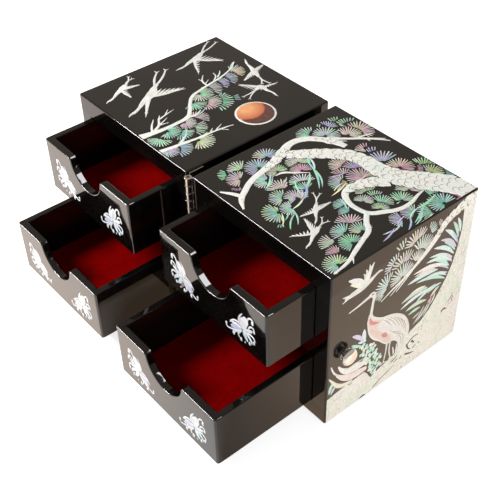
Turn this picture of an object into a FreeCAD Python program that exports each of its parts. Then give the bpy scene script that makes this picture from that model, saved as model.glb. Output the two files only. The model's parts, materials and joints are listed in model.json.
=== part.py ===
import FreeCAD, Part
import math
import os

from FreeCAD import Vector

# A folding jewellery box: two equal cabinets side by side, joined at their front
# edges by a piano hinge. Each holds two drawers with a finger scoop in the front.
# X runs along the fronts, Y to the back, Z up. The origin is on the floor, in the
# middle of the footprint with the drawers pulled out as they stand at rest.

# Cabinets, in millimetres
cabinetWidth = 101.0
cabinetDepth = 100.0
cabinetHeight = 101.5
cabinetGap = 5.2            # between the two hinge sides
sideBoard = 9.5
backBoard = 9.5
bottomBoard = 10.7
shelfBoard = 12.5
topBoard = 11.3
cornerRadius = 1.0          # upright outer corners
rimBevel = 0.7              # top and bottom rims
mouthBevel = 0.3            # edges round the drawer bays

# Drawers
drawerSideClearance = 0.4
drawerFloorClearance = 0.3
drawerTopClearance = 0.6
drawerEndClearance = 1.0
drawerFront = 4.2           # board thicknesses
drawerWall = 4.0
drawerBack = 4.0
drawerBottom = 3.0
drawerFrontCorner = 1.4     # upright corners of the front
drawerRearCorner = 0.8
drawerRimBevel = 0.6        # top edges and scoop
liningThickness = 1.0
liningClearance = 0.3
scoopRadius = 14.3
scoopShoulder = 2.0         # rounding where the scoop meets the top edge

# How far each drawer stands out at rest
pulls = {
    "right_lower": 61.0,
    "right_upper": 29.5,
    "left_lower": 57.0,
    "left_upper": 30.5,
}

# Piano hinge
barrelRadius = 2.1
pinRadius = 0.9
pinClearance = 0.05
axisAhead = 0.8             # hinge axis in front of the cabinet fronts
hingeEndGap = 1.3           # hinge ends below the top and above the floor
knucklePitch = 4.75
knuckleGap = 0.2
knuckleSides = 12           # the small knuckles and their bores are faceted
leafThickness = 0.8
leafReach = 10.6            # from the front plane to the leaf's rear edge
leafBarrelClearance = 0.35

# Clasp: a post on the right outer side, a hook on the left outer side
claspSetback = 11.5         # post and pivot behind the front plane
claspHeight = 45.5
claspBaseHeight = 0.8       # foot of the post, and washer of the pivot
claspClearance = 0.3        # between the hook and what it swings past
hookThickness = 1.1
hookEyeRadius = 3.0
hookArmWidth = 3.6
hookHeadRadius = 4.0
hookTail = 4.2              # thumb tail past the head
hookTailWidth = 2.6
postFootRadius = 3.4
postNeckRadius = 2.0
postHeadRadius = 4.8
postHeadRim = 0.8           # upright rim under the crown
postCrown = 2.4
pivotRadius = 1.2           # shank of the pivot screw and of the post
pivotFootRadius = 2.6
pivotHeadRadius = 2.4
pivotHeadHeight = 1.0
pivotHeadBevel = 0.5
shankLength = 5.5           # in the board
shankClearance = 0.05

# Shell inlay
inlayThickness = 0.2
inlayMargin = 0.2           # inside the rounded rim of a panel
sunRadius = 10.3
sunRise = 0.3               # above the other pieces
sunRingWidth = 1.3
sunSides = 40
drawnWidth = 101.0          # the panel sizes that the inlay is drawn for
drawnDepth = 100.0
drawnHeight = 101.5
drawnFrontWidth = 81.2
drawnFrontHeight = 32.6
groundOverrun = 1.1         # how far the ground is drawn, in panel depths

# Inlay shapes: across, up and, along a strip, its width there
sunCentre = (83.3, 61.4)
rightTopPine = [
    [(102, 95.5, 12), (90, 91.5, 14.5), (80, 84.5, 14.5), (70, 77.5, 13), (59, 74.2, 10.5),
     (48, 74, 9.2), (39, 71.5, 9), (31, 64.5, 8.5), (24, 56.5, 7.5), (17.5, 48, 6)],
    [(32.5, 76, 3.4), (26, 74.5, 5), (19, 70.5, 4.6), (12.8, 63.5, 4.4), (11.5, 55.5, 4.2),
     (14.5, 48, 5.4), (18, 39, 5.2), (20.3, 29, 3.6), (22.6, 20, 3.2), (27, 12, 3.2), (31, 6.5, 3),
     (37.6, 2.4, 1)],
    [(29.8, 8.6, 2.6), (25, 6.2, 2.4), (19.4, 2.4, 1)],
    [(68, 71, 9), (62.5, 63, 7.4), (60, 55.5, 5.6), (60.3, 48.5, 3.8), (66, 44.2, 3), (73, 43.4, 2.8),
     (79.4, 45.4, 2.8), (83.2, 51, 3), (86.8, 58.5, 2.6), (87, 66.5, 2.2), (85.2, 73, 1.6),
     (84.4, 78, 0.8)],
    [(78.6, 44.4, 2.6), (83.5, 39.3, 2.8), (88, 36, 2.8), (91.2, 29, 2.4), (94.2, 21.5, 2.4),
     (97.6, 13, 1.8), (99.2, 3, 1)],
    [(20.5, 73.5, 2.2), (28, 81.5, 1.8), (34, 88.5, 1.8), (39, 93.2, 1.5), (44.3, 97, 0.6)],
]
rightTopCranes = [
    {"body": (60.2, 28.6), "head": (68.5, 20.4), "wings": [(61.4, 37.6), (59.7, 18.6)],
     "feet": [(50.6, 35.9), (53.2, 38)]},
    {"body": (72.3, 17.2), "head": (78.4, 5.4), "wings": [(61.8, 19.2), (67.2, 5.2)],
     "feet": [(67.2, 26), (70.9, 26.2)]},
]
leftTopPine = [
    [(60.3, 0.5, 5), (61.4, 7, 3.6), (62.4, 15, 2.7), (62.4, 23, 2.4), (61.4, 31, 2.6),
     (56.8, 36.2, 2.2), (50.8, 41, 2), (46, 46.4, 2), (44, 53, 1.8), (42.4, 61, 1.5), (41, 69, 1.3),
     (38.8, 77, 1.1), (35.6, 83.5, 1), (32, 88, 0.6)],
    [(78.1, 0.5, 3), (79.2, 8, 2.2), (80, 15, 2), (81.3, 23, 1.6), (81.8, 31, 1.3), (82.6, 38.5, 1.1),
     (84, 45.2, 0.5)],
]
leftTopCranes = [
    {"body": (28.6, 30.4), "head": (40, 6.8), "wings": [(37, 48.2), (46.3, 13.8)],
     "feet": [(12.8, 51.8), (11.4, 46.4)]},
    {"body": (13.4, 74.6), "head": (17.4, 56), "wings": [(27.2, 84.2), (29.3, 63.6)],
     "feet": [(6.4, 94.6), (2.8, 91)]},
    {"body": (12.4, 21.8), "head": (20, 5.4), "wings": [(16.2, 31), (24.4, 19.4)],
     "feet": [(4.6, 31), (7.6, 31.2)]},
    {"body": (49.8, 89.2), "head": (34, 94.6), "wings": [(46, 99), (52.4, 78.6)],
     "feet": [(64, 87.8), (61.6, 84.4)]},
    {"body": (63.6, 81.4), "head": (78.4, 82.2), "wings": [(67, 91.8), (53.4, 73.6)],
     "feet": [(65.8, 67.6), (69.6, 68.8)]},
]
rightSidePine = [
    [(93, 97.5, 6.5), (84, 95, 5.6), (76.4, 91.2, 5), (71.4, 85.5, 4.4), (65.5, 80.2, 3.6),
     (58.5, 75.6, 2.6), (50, 71.4, 1.6), (42.5, 68.8, 1.2), (34.6, 65.2, 0.5)],
    [(57, 74.4, 1.6), (51.5, 70, 1.2), (45, 65.2, 0.5)],
]
# The trunk down the rear edge and the ground at its foot: the curve along their free side
groundLine = [
    (0, 18.5), (9, 19.6), (20, 20.2), (27, 21.4), (31, 16.5), (34, 12.4), (41, 15.2), (50, 17.8),
    (56, 22.4), (60, 27.4), (68, 30.2), (74, 35.2), (79.4, 43), (84, 50.4), (87.4, 58), (89.6, 67),
    (91.2, 80), (90.4, 92), (90.4, 102),
]
rightSideFlyer = {
    "body": (22, 84.8), "head": (33.2, 86.9),
    "wings": [(11.4, 93), (26.6, 95)],
    "feet": [(7.6, 84.2), (7.8, 81.6)],
}
standingCraneBody = [
    (27.4, 61), (31, 56.8), (37, 53.4), (44, 51.4), (51, 47), (56, 41), (59, 33), (57.4, 25),
    (52.6, 20.6), (49.4, 25.4), (45.6, 30.8), (40.6, 33.4), (34.6, 38.2), (29.8, 43.4), (27, 50),
    (26.4, 56),
]
standingCraneLimbs = [
    [(27.7, 57.5, 3), (28.3, 63.5, 1.9), (28.6, 68.5, 1.9), (29.2, 72, 2.8), (28.2, 74.6, 3.4),
     (25.2, 74.6, 2.4), (20, 73.1, 1.5), (12.6, 72, 0.7)],
    [(42.6, 33.5, 1.2), (42, 25, 0.8), (40.8, 16.6, 0.8)],
    [(45.2, 31.5, 1.2), (44.8, 25, 0.8), (46.6, 17.6, 0.8)],
]
flowerPetals = [
    [(63, 11.2, 0.8), (64.6, 15, 3.6), (65.6, 18.6, 4.4), (65.9, 22, 1.6)],
    [(63, 11.2, 0.8), (60, 10.8, 3.2), (57, 9.4, 4.2), (54.4, 7.4, 1.6)],
    [(63, 11.2, 0.8), (64.6, 9.6, 2.8), (66, 8, 2.8), (67, 5.8, 1)],
]

# Sizes that follow
halfGap = cabinetGap / 2
innerWidth = cabinetWidth - 2 * sideBoard
uprightHeight = cabinetHeight - bottomBoard - topBoard
bayHeight = (uprightHeight - shelfBoard) / 2
bayDepth = cabinetDepth - backBoard
drawerWidth = innerWidth - 2 * drawerSideClearance
drawerHeight = bayHeight - drawerFloorClearance - drawerTopClearance
drawerLength = bayDepth - drawerEndClearance
longestPull = max(pulls.values())
frontY = (longestPull + inlayThickness - cabinetDepth) / 2
backY = frontY + cabinetDepth
outerX = halfGap + cabinetWidth
axisY = frontY - axisAhead
bayFloors = {
    "lower": bottomBoard,
    "upper": bottomBoard + bayHeight + shelfBoard,
}
claspY = frontY + claspSetback
hookFloor = claspBaseHeight + claspClearance
hookTop = hookFloor + hookThickness
claspHeadFloor = hookTop + claspClearance
claspFoot = Vector(outerX, claspY, claspHeight)
claspOut = Vector(1, 0, 0)
hingeLength = cabinetHeight - 2 * hingeEndGap
near = 1e-4


def box(x, y, z, dx, dy, dz):
    return Part.makeBox(dx, dy, dz, Vector(x, y, z))


def mirrored(shape):
    # The same piece on the left cabinet.
    return shape.mirror(Vector(0, 0, 0), Vector(1, 0, 0))


def joined(shapes):
    if len(shapes) == 1:
        return shapes[0]
    return shapes[0].multiFuse(shapes[1:]).removeSplitter()


def edgesWhere(shape, test):
    # The edges that pass the test all along.
    found = []
    for edge in shape.Edges:
        span = edge.LastParameter - edge.FirstParameter
        points = [edge.valueAt(edge.FirstParameter + span * share) for share in (0.1, 0.5, 0.9)]
        if all(test(p) for p in points):
            found.append(edge)
    return found


def rounded(shape, radius, test):
    return shape.makeFillet(radius, edgesWhere(shape, test))


def bevelled(shape, size, test):
    return shape.makeChamfer(size, edgesWhere(shape, test))


def same(a, b):
    return abs(a - b) < near


def turned(profile, foot, direction):
    # A revolved piece, whose profile starts and ends on the axis, in radius and height.
    corners = [Vector(r, 0, h) for r, h in profile]
    wire = Part.Wire(Part.makePolygon(corners + corners[:1]))
    solid = Part.Face(wire).revolve(Vector(0, 0, 0), Vector(0, 0, 1), 360)
    solid.Placement = FreeCAD.Placement(foot, FreeCAD.Rotation(Vector(0, 0, 1), direction))
    return solid


def facetedDisc(centre, reach, sides):
    # A regular flat shape whose corners lie at the given reach.
    turns = [n * 2 * math.pi / sides for n in range(sides)]
    corners = [centre + Vector(reach * math.cos(turn), reach * math.sin(turn), 0) for turn in turns]
    return Part.Face(Part.Wire(Part.makePolygon(corners + corners[:1])))


# Cabinet

def carcase():
    # The whole lacquered case of the right cabinet, before it is parted into boards.
    case = box(halfGap, frontY, 0, cabinetWidth, cabinetDepth, cabinetHeight)

    def upright(p):
        return (same(p.x, halfGap) or same(p.x, outerX)) and (same(p.y, frontY) or same(p.y, backY))

    case = rounded(case, cornerRadius, upright)
    case = bevelled(case, rimBevel, lambda p: same(p.z, 0) or same(p.z, cabinetHeight))
    for floor in bayFloors.values():
        case = case.cut(box(halfGap + sideBoard, frontY, floor, innerWidth, bayDepth, bayHeight))

    def mouth(p):
        inBay = halfGap + sideBoard - near < p.x < outerX - sideBoard + near
        return same(p.y, frontY) and inBay and bottomBoard - near < p.z < cabinetHeight - topBoard + near

    return bevelled(case, mouthBevel, mouth)


def cabinetBoards():
    case = carcase()
    uprightZ = bottomBoard
    innerX = halfGap + sideBoard
    rooms = {
        "top_board": box(halfGap, frontY, cabinetHeight - topBoard, cabinetWidth, cabinetDepth, topBoard),
        "bottom_board": box(halfGap, frontY, 0, cabinetWidth, cabinetDepth, bottomBoard),
        "hinge_side": box(halfGap, frontY, uprightZ, sideBoard, cabinetDepth, uprightHeight),
        "outer_side": box(outerX - sideBoard, frontY, uprightZ, sideBoard, cabinetDepth, uprightHeight),
        "back_board": box(innerX, backY - backBoard, uprightZ, innerWidth, backBoard, uprightHeight),
        "shelf": box(innerX, frontY, uprightZ + bayHeight, innerWidth, bayDepth, shelfBoard),
    }
    return {name: case.common(room) for name, room in rooms.items()}


# Drawers

def scoopOutline(centre, top):
    # A round bite whose centre is on the top edge, with softened shoulders.
    reach = math.sqrt((scoopRadius + scoopShoulder) ** 2 - scoopShoulder ** 2)
    share = scoopRadius / (scoopRadius + scoopShoulder)
    touch = (reach * share, -scoopShoulder * share)
    turn = (math.pi / 2 + math.pi - math.asin(scoopShoulder / (scoopRadius + scoopShoulder))) / 2
    bend = (reach + scoopShoulder * math.cos(turn), scoopShoulder * (math.sin(turn) - 1))

    def spot(across, up):
        return Vector(centre + across, frontY, top + up)

    above = scoopRadius
    return Part.Wire([
        Part.Arc(spot(-reach, 0), spot(-bend[0], bend[1]), spot(-touch[0], touch[1])).toShape(),
        Part.Arc(spot(-touch[0], touch[1]), spot(0, -scoopRadius), spot(*touch)).toShape(),
        Part.Arc(spot(*touch), spot(*bend), spot(reach, 0)).toShape(),
        Part.makeLine(spot(reach, 0), spot(reach, above)),
        Part.makeLine(spot(reach, above), spot(-reach, above)),
        Part.makeLine(spot(-reach, above), spot(-reach, 0)),
    ])


def drawerBoards(level):
    # A right-hand drawer, shut: its rounded frame is parted into boards.
    x0 = halfGap + sideBoard + drawerSideClearance
    x1 = x0 + drawerWidth
    z0 = bayFloors[level] + drawerFloorClearance
    top = z0 + drawerHeight
    innerX0 = x0 + drawerWall
    innerX1 = x1 - drawerWall
    innerY0 = frontY + drawerFront
    innerY1 = frontY + drawerLength - drawerBack
    rearY = frontY + drawerLength
    insideWidth = drawerWidth - 2 * drawerWall
    insideLength = drawerLength - drawerFront - drawerBack
    scoopLow = top - scoopRadius

    def onSide(p):
        return same(p.x, x0) or same(p.x, x1)

    frame = box(x0, frontY, z0, drawerWidth, drawerLength, drawerHeight)
    frame = rounded(frame, drawerFrontCorner, lambda p: same(p.y, frontY) and onSide(p))
    frame = rounded(frame, drawerRearCorner, lambda p: same(p.y, rearY) and onSide(p))
    frame = frame.cut(box(innerX0, innerY0, z0, insideWidth, insideLength, drawerHeight))
    bite = Part.Face(scoopOutline((x0 + x1) / 2, top)).extrude(Vector(0, drawerFront, 0))
    frame = frame.cut(bite)

    def onScoop(p, y):
        return same(p.y, y) and innerX0 < p.x < innerX1 and p.z > scoopLow - near

    def outside(p):
        return not (innerX0 - near < p.x < innerX1 + near and innerY0 - near < p.y < innerY1 + near)

    def outerRim(p):
        return onScoop(p, frontY) or (same(p.z, top) and outside(p))

    def innerRim(p):
        return onScoop(p, innerY0) or (same(p.z, top) and not outside(p))

    frame = bevelled(frame, drawerRimBevel, outerRim)
    frame = bevelled(frame, drawerRimBevel, innerRim)

    wallLength = drawerLength - drawerFront
    rooms = {
        "front": box(x0, frontY, z0, drawerWidth, drawerFront, drawerHeight),
        "hinge_wall": box(x0, innerY0, z0, drawerWall, wallLength, drawerHeight),
        "outer_wall": box(innerX1, innerY0, z0, drawerWall, wallLength, drawerHeight),
        "back": box(innerX0, innerY1, z0, insideWidth, drawerBack, drawerHeight),
    }
    boards = {name: frame.common(room) for name, room in rooms.items()}
    boards["bottom"] = box(innerX0, innerY0, z0, insideWidth, insideLength, drawerBottom)
    boards["lining"] = box(
        innerX0 + liningClearance, innerY0 + liningClearance, z0 + drawerBottom,
        insideWidth - 2 * liningClearance, insideLength - 2 * liningClearance, liningThickness)
    return boards


# Piano hinge

def hingeLeaf(firstKnuckle):
    # The right leaf: a plate on the board, with every second knuckle round the pin.
    plateY = axisY + barrelRadius + leafBarrelClearance
    plateX = halfGap - leafThickness
    leaf = box(plateX, plateY, hingeEndGap, leafThickness, frontY + leafReach - plateY, hingeLength)
    tab = Part.makePlane(leafThickness, plateY - axisY, Vector(plateX, axisY, 0))
    axis = Vector(0, axisY, 0)
    bore = facetedDisc(axis, (pinRadius + pinClearance) / math.cos(math.pi / knuckleSides), knuckleSides)
    profile = facetedDisc(axis, barrelRadius, knuckleSides).fuse(tab).removeSplitter().cut(bore)
    count = round(hingeLength / knucklePitch)
    pitch = hingeLength / count
    knuckles = []
    for n in range(firstKnuckle, count, 2):
        knuckle = profile.extrude(Vector(0, 0, pitch - knuckleGap))
        knuckle.translate(Vector(0, 0, hingeEndGap + pitch * n + knuckleGap / 2))
        knuckles.append(knuckle)
    return joined([leaf] + knuckles)


def hingePin():
    return Part.makeCylinder(pinRadius, hingeLength, Vector(0, axisY, hingeEndGap), Vector(0, 0, 1))


# Clasp

def claspPost():
    # Foot, neck and crowned head, turned in one piece, with a shank in the board.
    rim = claspHeadFloor + postHeadRim
    crown = []
    for share in (0, 0.35, 0.7):
        turn = share * math.pi / 2
        crown.append((postHeadRadius * math.cos(turn), rim + postCrown * math.sin(turn)))
    profile = [
        (0, -shankLength), (pivotRadius, -shankLength), (pivotRadius, 0), (postFootRadius, 0),
        (postFootRadius, claspBaseHeight), (postNeckRadius, claspBaseHeight),
        (postNeckRadius, claspHeadFloor), (postHeadRadius, claspHeadFloor),
    ]
    profile += crown + [(0, rim + postCrown)]
    return turned(profile, claspFoot, claspOut)


def claspPivot():
    # The hook's screw, as on the right side: washer, shank through the eye, head.
    top = claspHeadFloor + pivotHeadHeight
    profile = [
        (0, -shankLength), (pivotRadius, -shankLength), (pivotRadius, 0), (pivotFootRadius, 0),
        (pivotFootRadius, claspBaseHeight), (pivotRadius, claspBaseHeight),
        (pivotRadius, claspHeadFloor), (pivotHeadRadius, claspHeadFloor),
        (pivotHeadRadius, top - pivotHeadBevel), (pivotHeadRadius - pivotHeadBevel, top), (0, top),
    ]
    return turned(profile, claspFoot, claspOut)


def claspHook():
    # Hangs straight down from its eye; its notch opens to the back and takes the post's neck
    # when the hook lies level and the cabinets are folded front to front.
    reach = 2 * (claspSetback + axisAhead)
    notch = postNeckRadius + claspClearance

    def disc(radius, down):
        return Part.Face(Part.Wire(Part.makeCircle(radius, Vector(0, 0, -down), claspOut)))

    def slab(y, z, dy, dz):
        corners = [(y, z), (y + dy, z), (y + dy, z + dz), (y, z + dz), (y, z)]
        return Part.Face(Part.Wire(Part.makePolygon([Vector(0, a, b) for a, b in corners])))

    arm = slab(-hookArmWidth / 2, -reach, hookArmWidth, reach)
    tailEnd = reach + hookHeadRadius + hookTail
    tail = slab(-hookHeadRadius, -tailEnd, hookTailWidth, tailEnd - reach)
    plate = joined([disc(hookEyeRadius, 0), arm, disc(hookHeadRadius, reach), tail])
    plate = plate.cut(disc(notch, reach))
    plate = plate.cut(slab(0, -reach - notch, hookHeadRadius, 2 * notch))
    plate = plate.cut(disc(pivotRadius + pinClearance, 0))
    hook = plate.extrude(claspOut * hookThickness)
    hook.translate(claspFoot + claspOut * hookFloor)
    return hook


# Shell inlay

class Panel:
    # A flat face that carries inlay. Its shapes are drawn across and up, and grow with the face.
    def __init__(self, corner, across, up, width, height, drawn, rim):
        self.corner = corner
        self.across = across
        self.up = up
        self.out = across.cross(up)
        self.width = width
        self.height = height
        self.scaleAcross = width / drawn[0]
        self.scaleUp = height / drawn[1]
        self.inset = rim + inlayMargin

    def point(self, a, b):
        return self.corner + self.across * (a * self.scaleAcross) + self.up * (b * self.scaleUp)

    def outline(self, points):
        # A piece cut with straight strokes through the points.
        corners = [self.point(a, b) for a, b in points]
        face = Part.Face(Part.Wire(Part.makePolygon(corners + corners[:1])))
        return face.extrude(self.out * inlayThickness)

    def strip(self, points):
        # A tapering strip along points, each with the strip's width there.
        left = []
        right = []
        for n, (a, b, width) in enumerate(points):
            before = points[max(n - 1, 0)]
            after = points[min(n + 1, len(points) - 1)]
            run = (after[0] - before[0], after[1] - before[1])
            share = width / 2 / math.hypot(*run)
            left.append((a - run[1] * share, b + run[0] * share))
            right.append((a + run[1] * share, b - run[0] * share))
        return self.outline(left + right[::-1])

    def clipped(self, shape):
        # Keeps the inlay on the flat of the face.
        inner = self.corner + (self.across + self.up) * self.inset
        far = inner + self.across * (self.width - 2 * self.inset) + self.up * (self.height - 2 * self.inset)
        far = far + self.out * inlayThickness
        low = Vector(min(inner.x, far.x), min(inner.y, far.y), min(inner.z, far.z))
        high = Vector(max(inner.x, far.x), max(inner.y, far.y), max(inner.z, far.z))
        size = high - low
        return shape.common(Part.makeBox(size.x, size.y, size.z, low))


def craneShape(panel, crane):
    # A flying crane: body, neck, two wings and two trailing legs as tapering strips.
    bx, by = crane["body"]
    hx, hy = crane["head"]
    reach = math.hypot(hx - bx, hy - by)
    size = reach / 24
    ux, uy = (hx - bx) / reach, (hy - by) / reach

    def spot(along, aside, width):
        # A point in the crane's own directions, in shares of its size.
        return (bx + (ux * along - uy * aside) * size, by + (uy * along + ux * aside) * size, width * size)

    strips = [[spot(-7, 0, 1.4), spot(-2, 0, 4.6), spot(4, 0, 3.6), spot(11, 0.7, 1.9), spot(18, 0.6, 1.8),
               (hx, hy, 0.6 * size)]]
    for wx, wy in crane["wings"]:
        span = math.hypot(wx - bx, wy - by)
        nx, ny = -(wy - by) / span, (wx - bx) / span
        bow = 0.04 * span
        strips.append([
            (bx, by, 2.4 * size),
            (bx + (wx - bx) * 0.35 + nx * bow, by + (wy - by) * 0.35 + ny * bow, 4.4 * size),
            (bx + (wx - bx) * 0.7 + nx * bow, by + (wy - by) * 0.7 + ny * bow, 3.4 * size),
            (wx, wy, 0.6 * size),
        ])
    for fx, fy in crane["feet"]:
        tail = spot(-4, 0, 1.2)
        strips.append([tail, ((tail[0] + fx) / 2, (tail[1] + fy) / 2, 1.0 * size), (fx, fy, 0.9 * size)])
    return joined([panel.strip(points) for points in strips])


def topPanel(x):
    corner = Vector(x, frontY, cabinetHeight)
    drawn = (drawnWidth, drawnDepth)
    return Panel(corner, Vector(1, 0, 0), Vector(0, 1, 0), cabinetWidth, cabinetDepth, drawn, cornerRadius)


def rightTopInlay():
    panel = topPanel(halfGap)
    pine = panel.clipped(joined([panel.strip(points) for points in rightTopPine]))
    cranes = [craneShape(panel, crane) for crane in rightTopCranes]
    return {"right_top_pine": pine, "right_top_cranes": Part.makeCompound(cranes)}


def leftTopInlay():
    panel = topPanel(-outerX)
    pine = panel.clipped(joined([panel.strip(points) for points in leftTopPine]))
    cranes = [panel.clipped(craneShape(panel, crane)) for crane in leftTopCranes]
    centre = panel.point(*sunCentre)
    sun = facetedDisc(centre, sunRadius, sunSides)
    ring = facetedDisc(centre, sunRadius + sunRingWidth, sunSides).cut(sun)
    disc = sun.extrude(panel.out * (inlayThickness + sunRise))
    disc = bevelled(disc, sunRise, lambda p: same(p.z, cabinetHeight + inlayThickness + sunRise))
    return {
        "left_top_pine": pine,
        "left_top_cranes": Part.makeCompound(cranes),
        "sun_disc": disc,
        "sun_ring": ring.extrude(panel.out * inlayThickness),
    }


def rightSideInlay():
    corner = Vector(outerX, frontY, 0)
    drawn = (drawnDepth, drawnHeight)
    across, up = Vector(0, 1, 0), Vector(0, 0, 1)
    panel = Panel(corner, across, up, cabinetDepth, cabinetHeight, drawn, cornerRadius)
    # The ground is drawn past the rear edge and cut off there with the rest.
    rear = groundOverrun * drawnDepth
    ground = panel.outline(groundLine + [(rear, groundLine[-1][1]), (rear, 0), (groundLine[0][0], 0)])
    pine = panel.clipped(joined([ground] + [panel.strip(points) for points in rightSidePine]))
    standing = [panel.outline(standingCraneBody)] + [panel.strip(points) for points in standingCraneLimbs]
    crane = joined(standing).cut(pine)
    cranes = Part.makeCompound([crane, craneShape(panel, rightSideFlyer)])
    return {"right_side_pine": pine, "right_side_cranes": cranes}


def drawerFlowers(level):
    # The same flower at both ends of a right-hand drawer's front, as mirror images.
    x0 = halfGap + sideBoard + drawerSideClearance
    z0 = bayFloors[level] + drawerFloorClearance
    drawn = (drawnFrontWidth, drawnFrontHeight)
    panel = Panel(Vector(x0, frontY, z0), Vector(1, 0, 0), Vector(0, 0, 1), drawerWidth, drawerHeight, drawn,
                  drawerFrontCorner)
    flower = joined([panel.strip(points) for points in flowerPetals])
    middle = Vector(x0 + drawerWidth / 2, 0, 0)
    return Part.makeCompound([flower, flower.mirror(middle, Vector(1, 0, 0))])


# The whole box

def rightAndLeft():
    nodes = {}
    boards = cabinetBoards()
    hole = Part.makeCylinder(
        pivotRadius + shankClearance, shankLength + shankClearance, claspFoot, claspOut * -1)
    boards["outer_side"] = boards["outer_side"].cut(hole)
    for name, board in boards.items():
        nodes["right_" + name] = board
        nodes["left_" + name] = mirrored(board)
    nodes["hinge_leaf_right"] = hingeLeaf(0)
    nodes["hinge_leaf_left"] = mirrored(hingeLeaf(1))
    nodes["hinge_pin"] = hingePin()
    nodes["clasp_post"] = claspPost()
    nodes["clasp_pivot"] = mirrored(claspPivot())
    nodes["clasp_hook"] = mirrored(claspHook())
    return nodes


def drawers():
    nodes = {}
    for name, pull in pulls.items():
        side, level = name.split("_")
        pieces = drawerBoards(level)
        pieces["flowers"] = drawerFlowers(level)
        for piece, shape in pieces.items():
            placed = mirrored(shape) if side == "left" else shape
            placed.translate(Vector(0, -pull, 0))
            nodes[name + "_drawer_" + piece] = placed
    return nodes


def main():
    os.makedirs("parts", exist_ok=True)
    nodes = {}
    for group in (rightAndLeft(), drawers(), rightTopInlay(), leftTopInlay(), rightSideInlay()):
        nodes.update(group)
    for name, shape in nodes.items():
        shape.exportStep("parts/" + name + ".step")
        solids = len(shape.Solids)
        print(name, "solids", solids, "valid", shape.isValid(), "volume", round(shape.Volume, 1))
    print(len(nodes), "nodes")


main()
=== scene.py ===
import json
import math
import random

import bpy
from mathutils import Matrix, Quaternion, Vector

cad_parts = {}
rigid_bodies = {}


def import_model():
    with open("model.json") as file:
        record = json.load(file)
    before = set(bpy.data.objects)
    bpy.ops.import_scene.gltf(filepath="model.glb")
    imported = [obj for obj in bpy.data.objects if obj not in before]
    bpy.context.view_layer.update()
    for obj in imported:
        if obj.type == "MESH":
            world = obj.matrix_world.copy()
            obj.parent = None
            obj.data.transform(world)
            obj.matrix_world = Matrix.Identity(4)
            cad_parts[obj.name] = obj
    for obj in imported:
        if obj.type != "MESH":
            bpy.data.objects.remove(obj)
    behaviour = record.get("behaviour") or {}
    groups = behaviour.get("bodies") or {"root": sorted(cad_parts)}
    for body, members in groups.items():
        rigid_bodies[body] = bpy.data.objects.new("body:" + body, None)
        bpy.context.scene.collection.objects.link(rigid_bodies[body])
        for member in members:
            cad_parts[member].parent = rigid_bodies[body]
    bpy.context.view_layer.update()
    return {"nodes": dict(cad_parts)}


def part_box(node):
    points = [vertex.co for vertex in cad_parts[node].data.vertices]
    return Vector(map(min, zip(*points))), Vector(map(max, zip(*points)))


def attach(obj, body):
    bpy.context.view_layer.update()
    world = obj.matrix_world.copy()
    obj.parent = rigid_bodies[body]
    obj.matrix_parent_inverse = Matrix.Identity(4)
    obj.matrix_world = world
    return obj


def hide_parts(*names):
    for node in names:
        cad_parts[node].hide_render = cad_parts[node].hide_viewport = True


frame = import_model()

mm = 0.001
rng = random.Random(11)
print("frame loaded:", len(frame["nodes"]), "nodes")


# small helpers for working as by hand

def clearSelection():
    if bpy.context.object and bpy.context.object.mode != "OBJECT":
        bpy.ops.object.mode_set(mode="OBJECT")
    bpy.ops.object.select_all(action="DESELECT")


def pick(piece):
    clearSelection()
    piece.select_set(True)
    bpy.context.view_layer.objects.active = piece


def settle(piece):
    # the place goes into the mesh, so the object sits at the origin
    pick(piece)
    bpy.ops.object.transform_apply(location=True, rotation=True, scale=True)


def useModifier(piece, kind, **settings):
    # a modifier is added and applied at once
    modifier = piece.modifiers.new(kind.lower(), kind)
    for key, value in settings.items():
        setattr(modifier, key, value)
    pick(piece)
    bpy.ops.object.modifier_apply(modifier=modifier.name)


def chooseEdges(piece, test):
    pick(piece)
    bpy.ops.object.mode_set(mode="EDIT")
    bpy.ops.mesh.select_mode(type="EDGE")
    bpy.ops.mesh.select_all(action="DESELECT")
    bpy.ops.object.mode_set(mode="OBJECT")
    spots = piece.data.vertices
    for edge in piece.data.edges:
        a, b = (spots[i].co for i in edge.vertices)
        edge.select = bool(test(a, b))
    bpy.ops.object.mode_set(mode="EDIT")


def chooseFaces(piece, test):
    pick(piece)
    bpy.ops.object.mode_set(mode="EDIT")
    bpy.ops.mesh.select_mode(type="FACE")
    bpy.ops.mesh.select_all(action="DESELECT")
    bpy.ops.object.mode_set(mode="OBJECT")
    for face in piece.data.polygons:
        face.select = bool(test(face))
    bpy.ops.object.mode_set(mode="EDIT")


def roundEdges(piece, radius, test, segments=3):
    # radius in millimetres, for the edges that pass the test
    chooseEdges(piece, test)
    bpy.ops.mesh.bevel(offset=radius * mm, offset_type="OFFSET", segments=segments, affect="EDGES",
                       clamp_overlap=False)
    bpy.ops.object.mode_set(mode="OBJECT")


def both(a, b, axis, value):
    # whether both ends of an edge lie in one plane across an axis
    return abs(a[axis] - value) < 2e-5 and abs(b[axis] - value) < 2e-5


def block(name, low, high):
    # a cube at its size and place
    clearSelection()
    bpy.ops.mesh.primitive_cube_add(size=1, location=(Vector(low) + Vector(high)) / 2)
    piece = bpy.context.object
    piece.name = name
    piece.scale = Vector(high) - Vector(low)
    settle(piece)
    return piece


def joined(pieces, name):
    # several pieces become one
    clearSelection()
    for piece in pieces:
        piece.select_set(True)
    bpy.context.view_layer.objects.active = pieces[0]
    bpy.ops.object.join()
    pieces[0].name = name
    return pieces[0]


def pieceName(node):
    # right_top_board becomes rightTopBoard
    first, *rest = node.split("_")
    return first + "".join(word.title() for word in rest)


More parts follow.
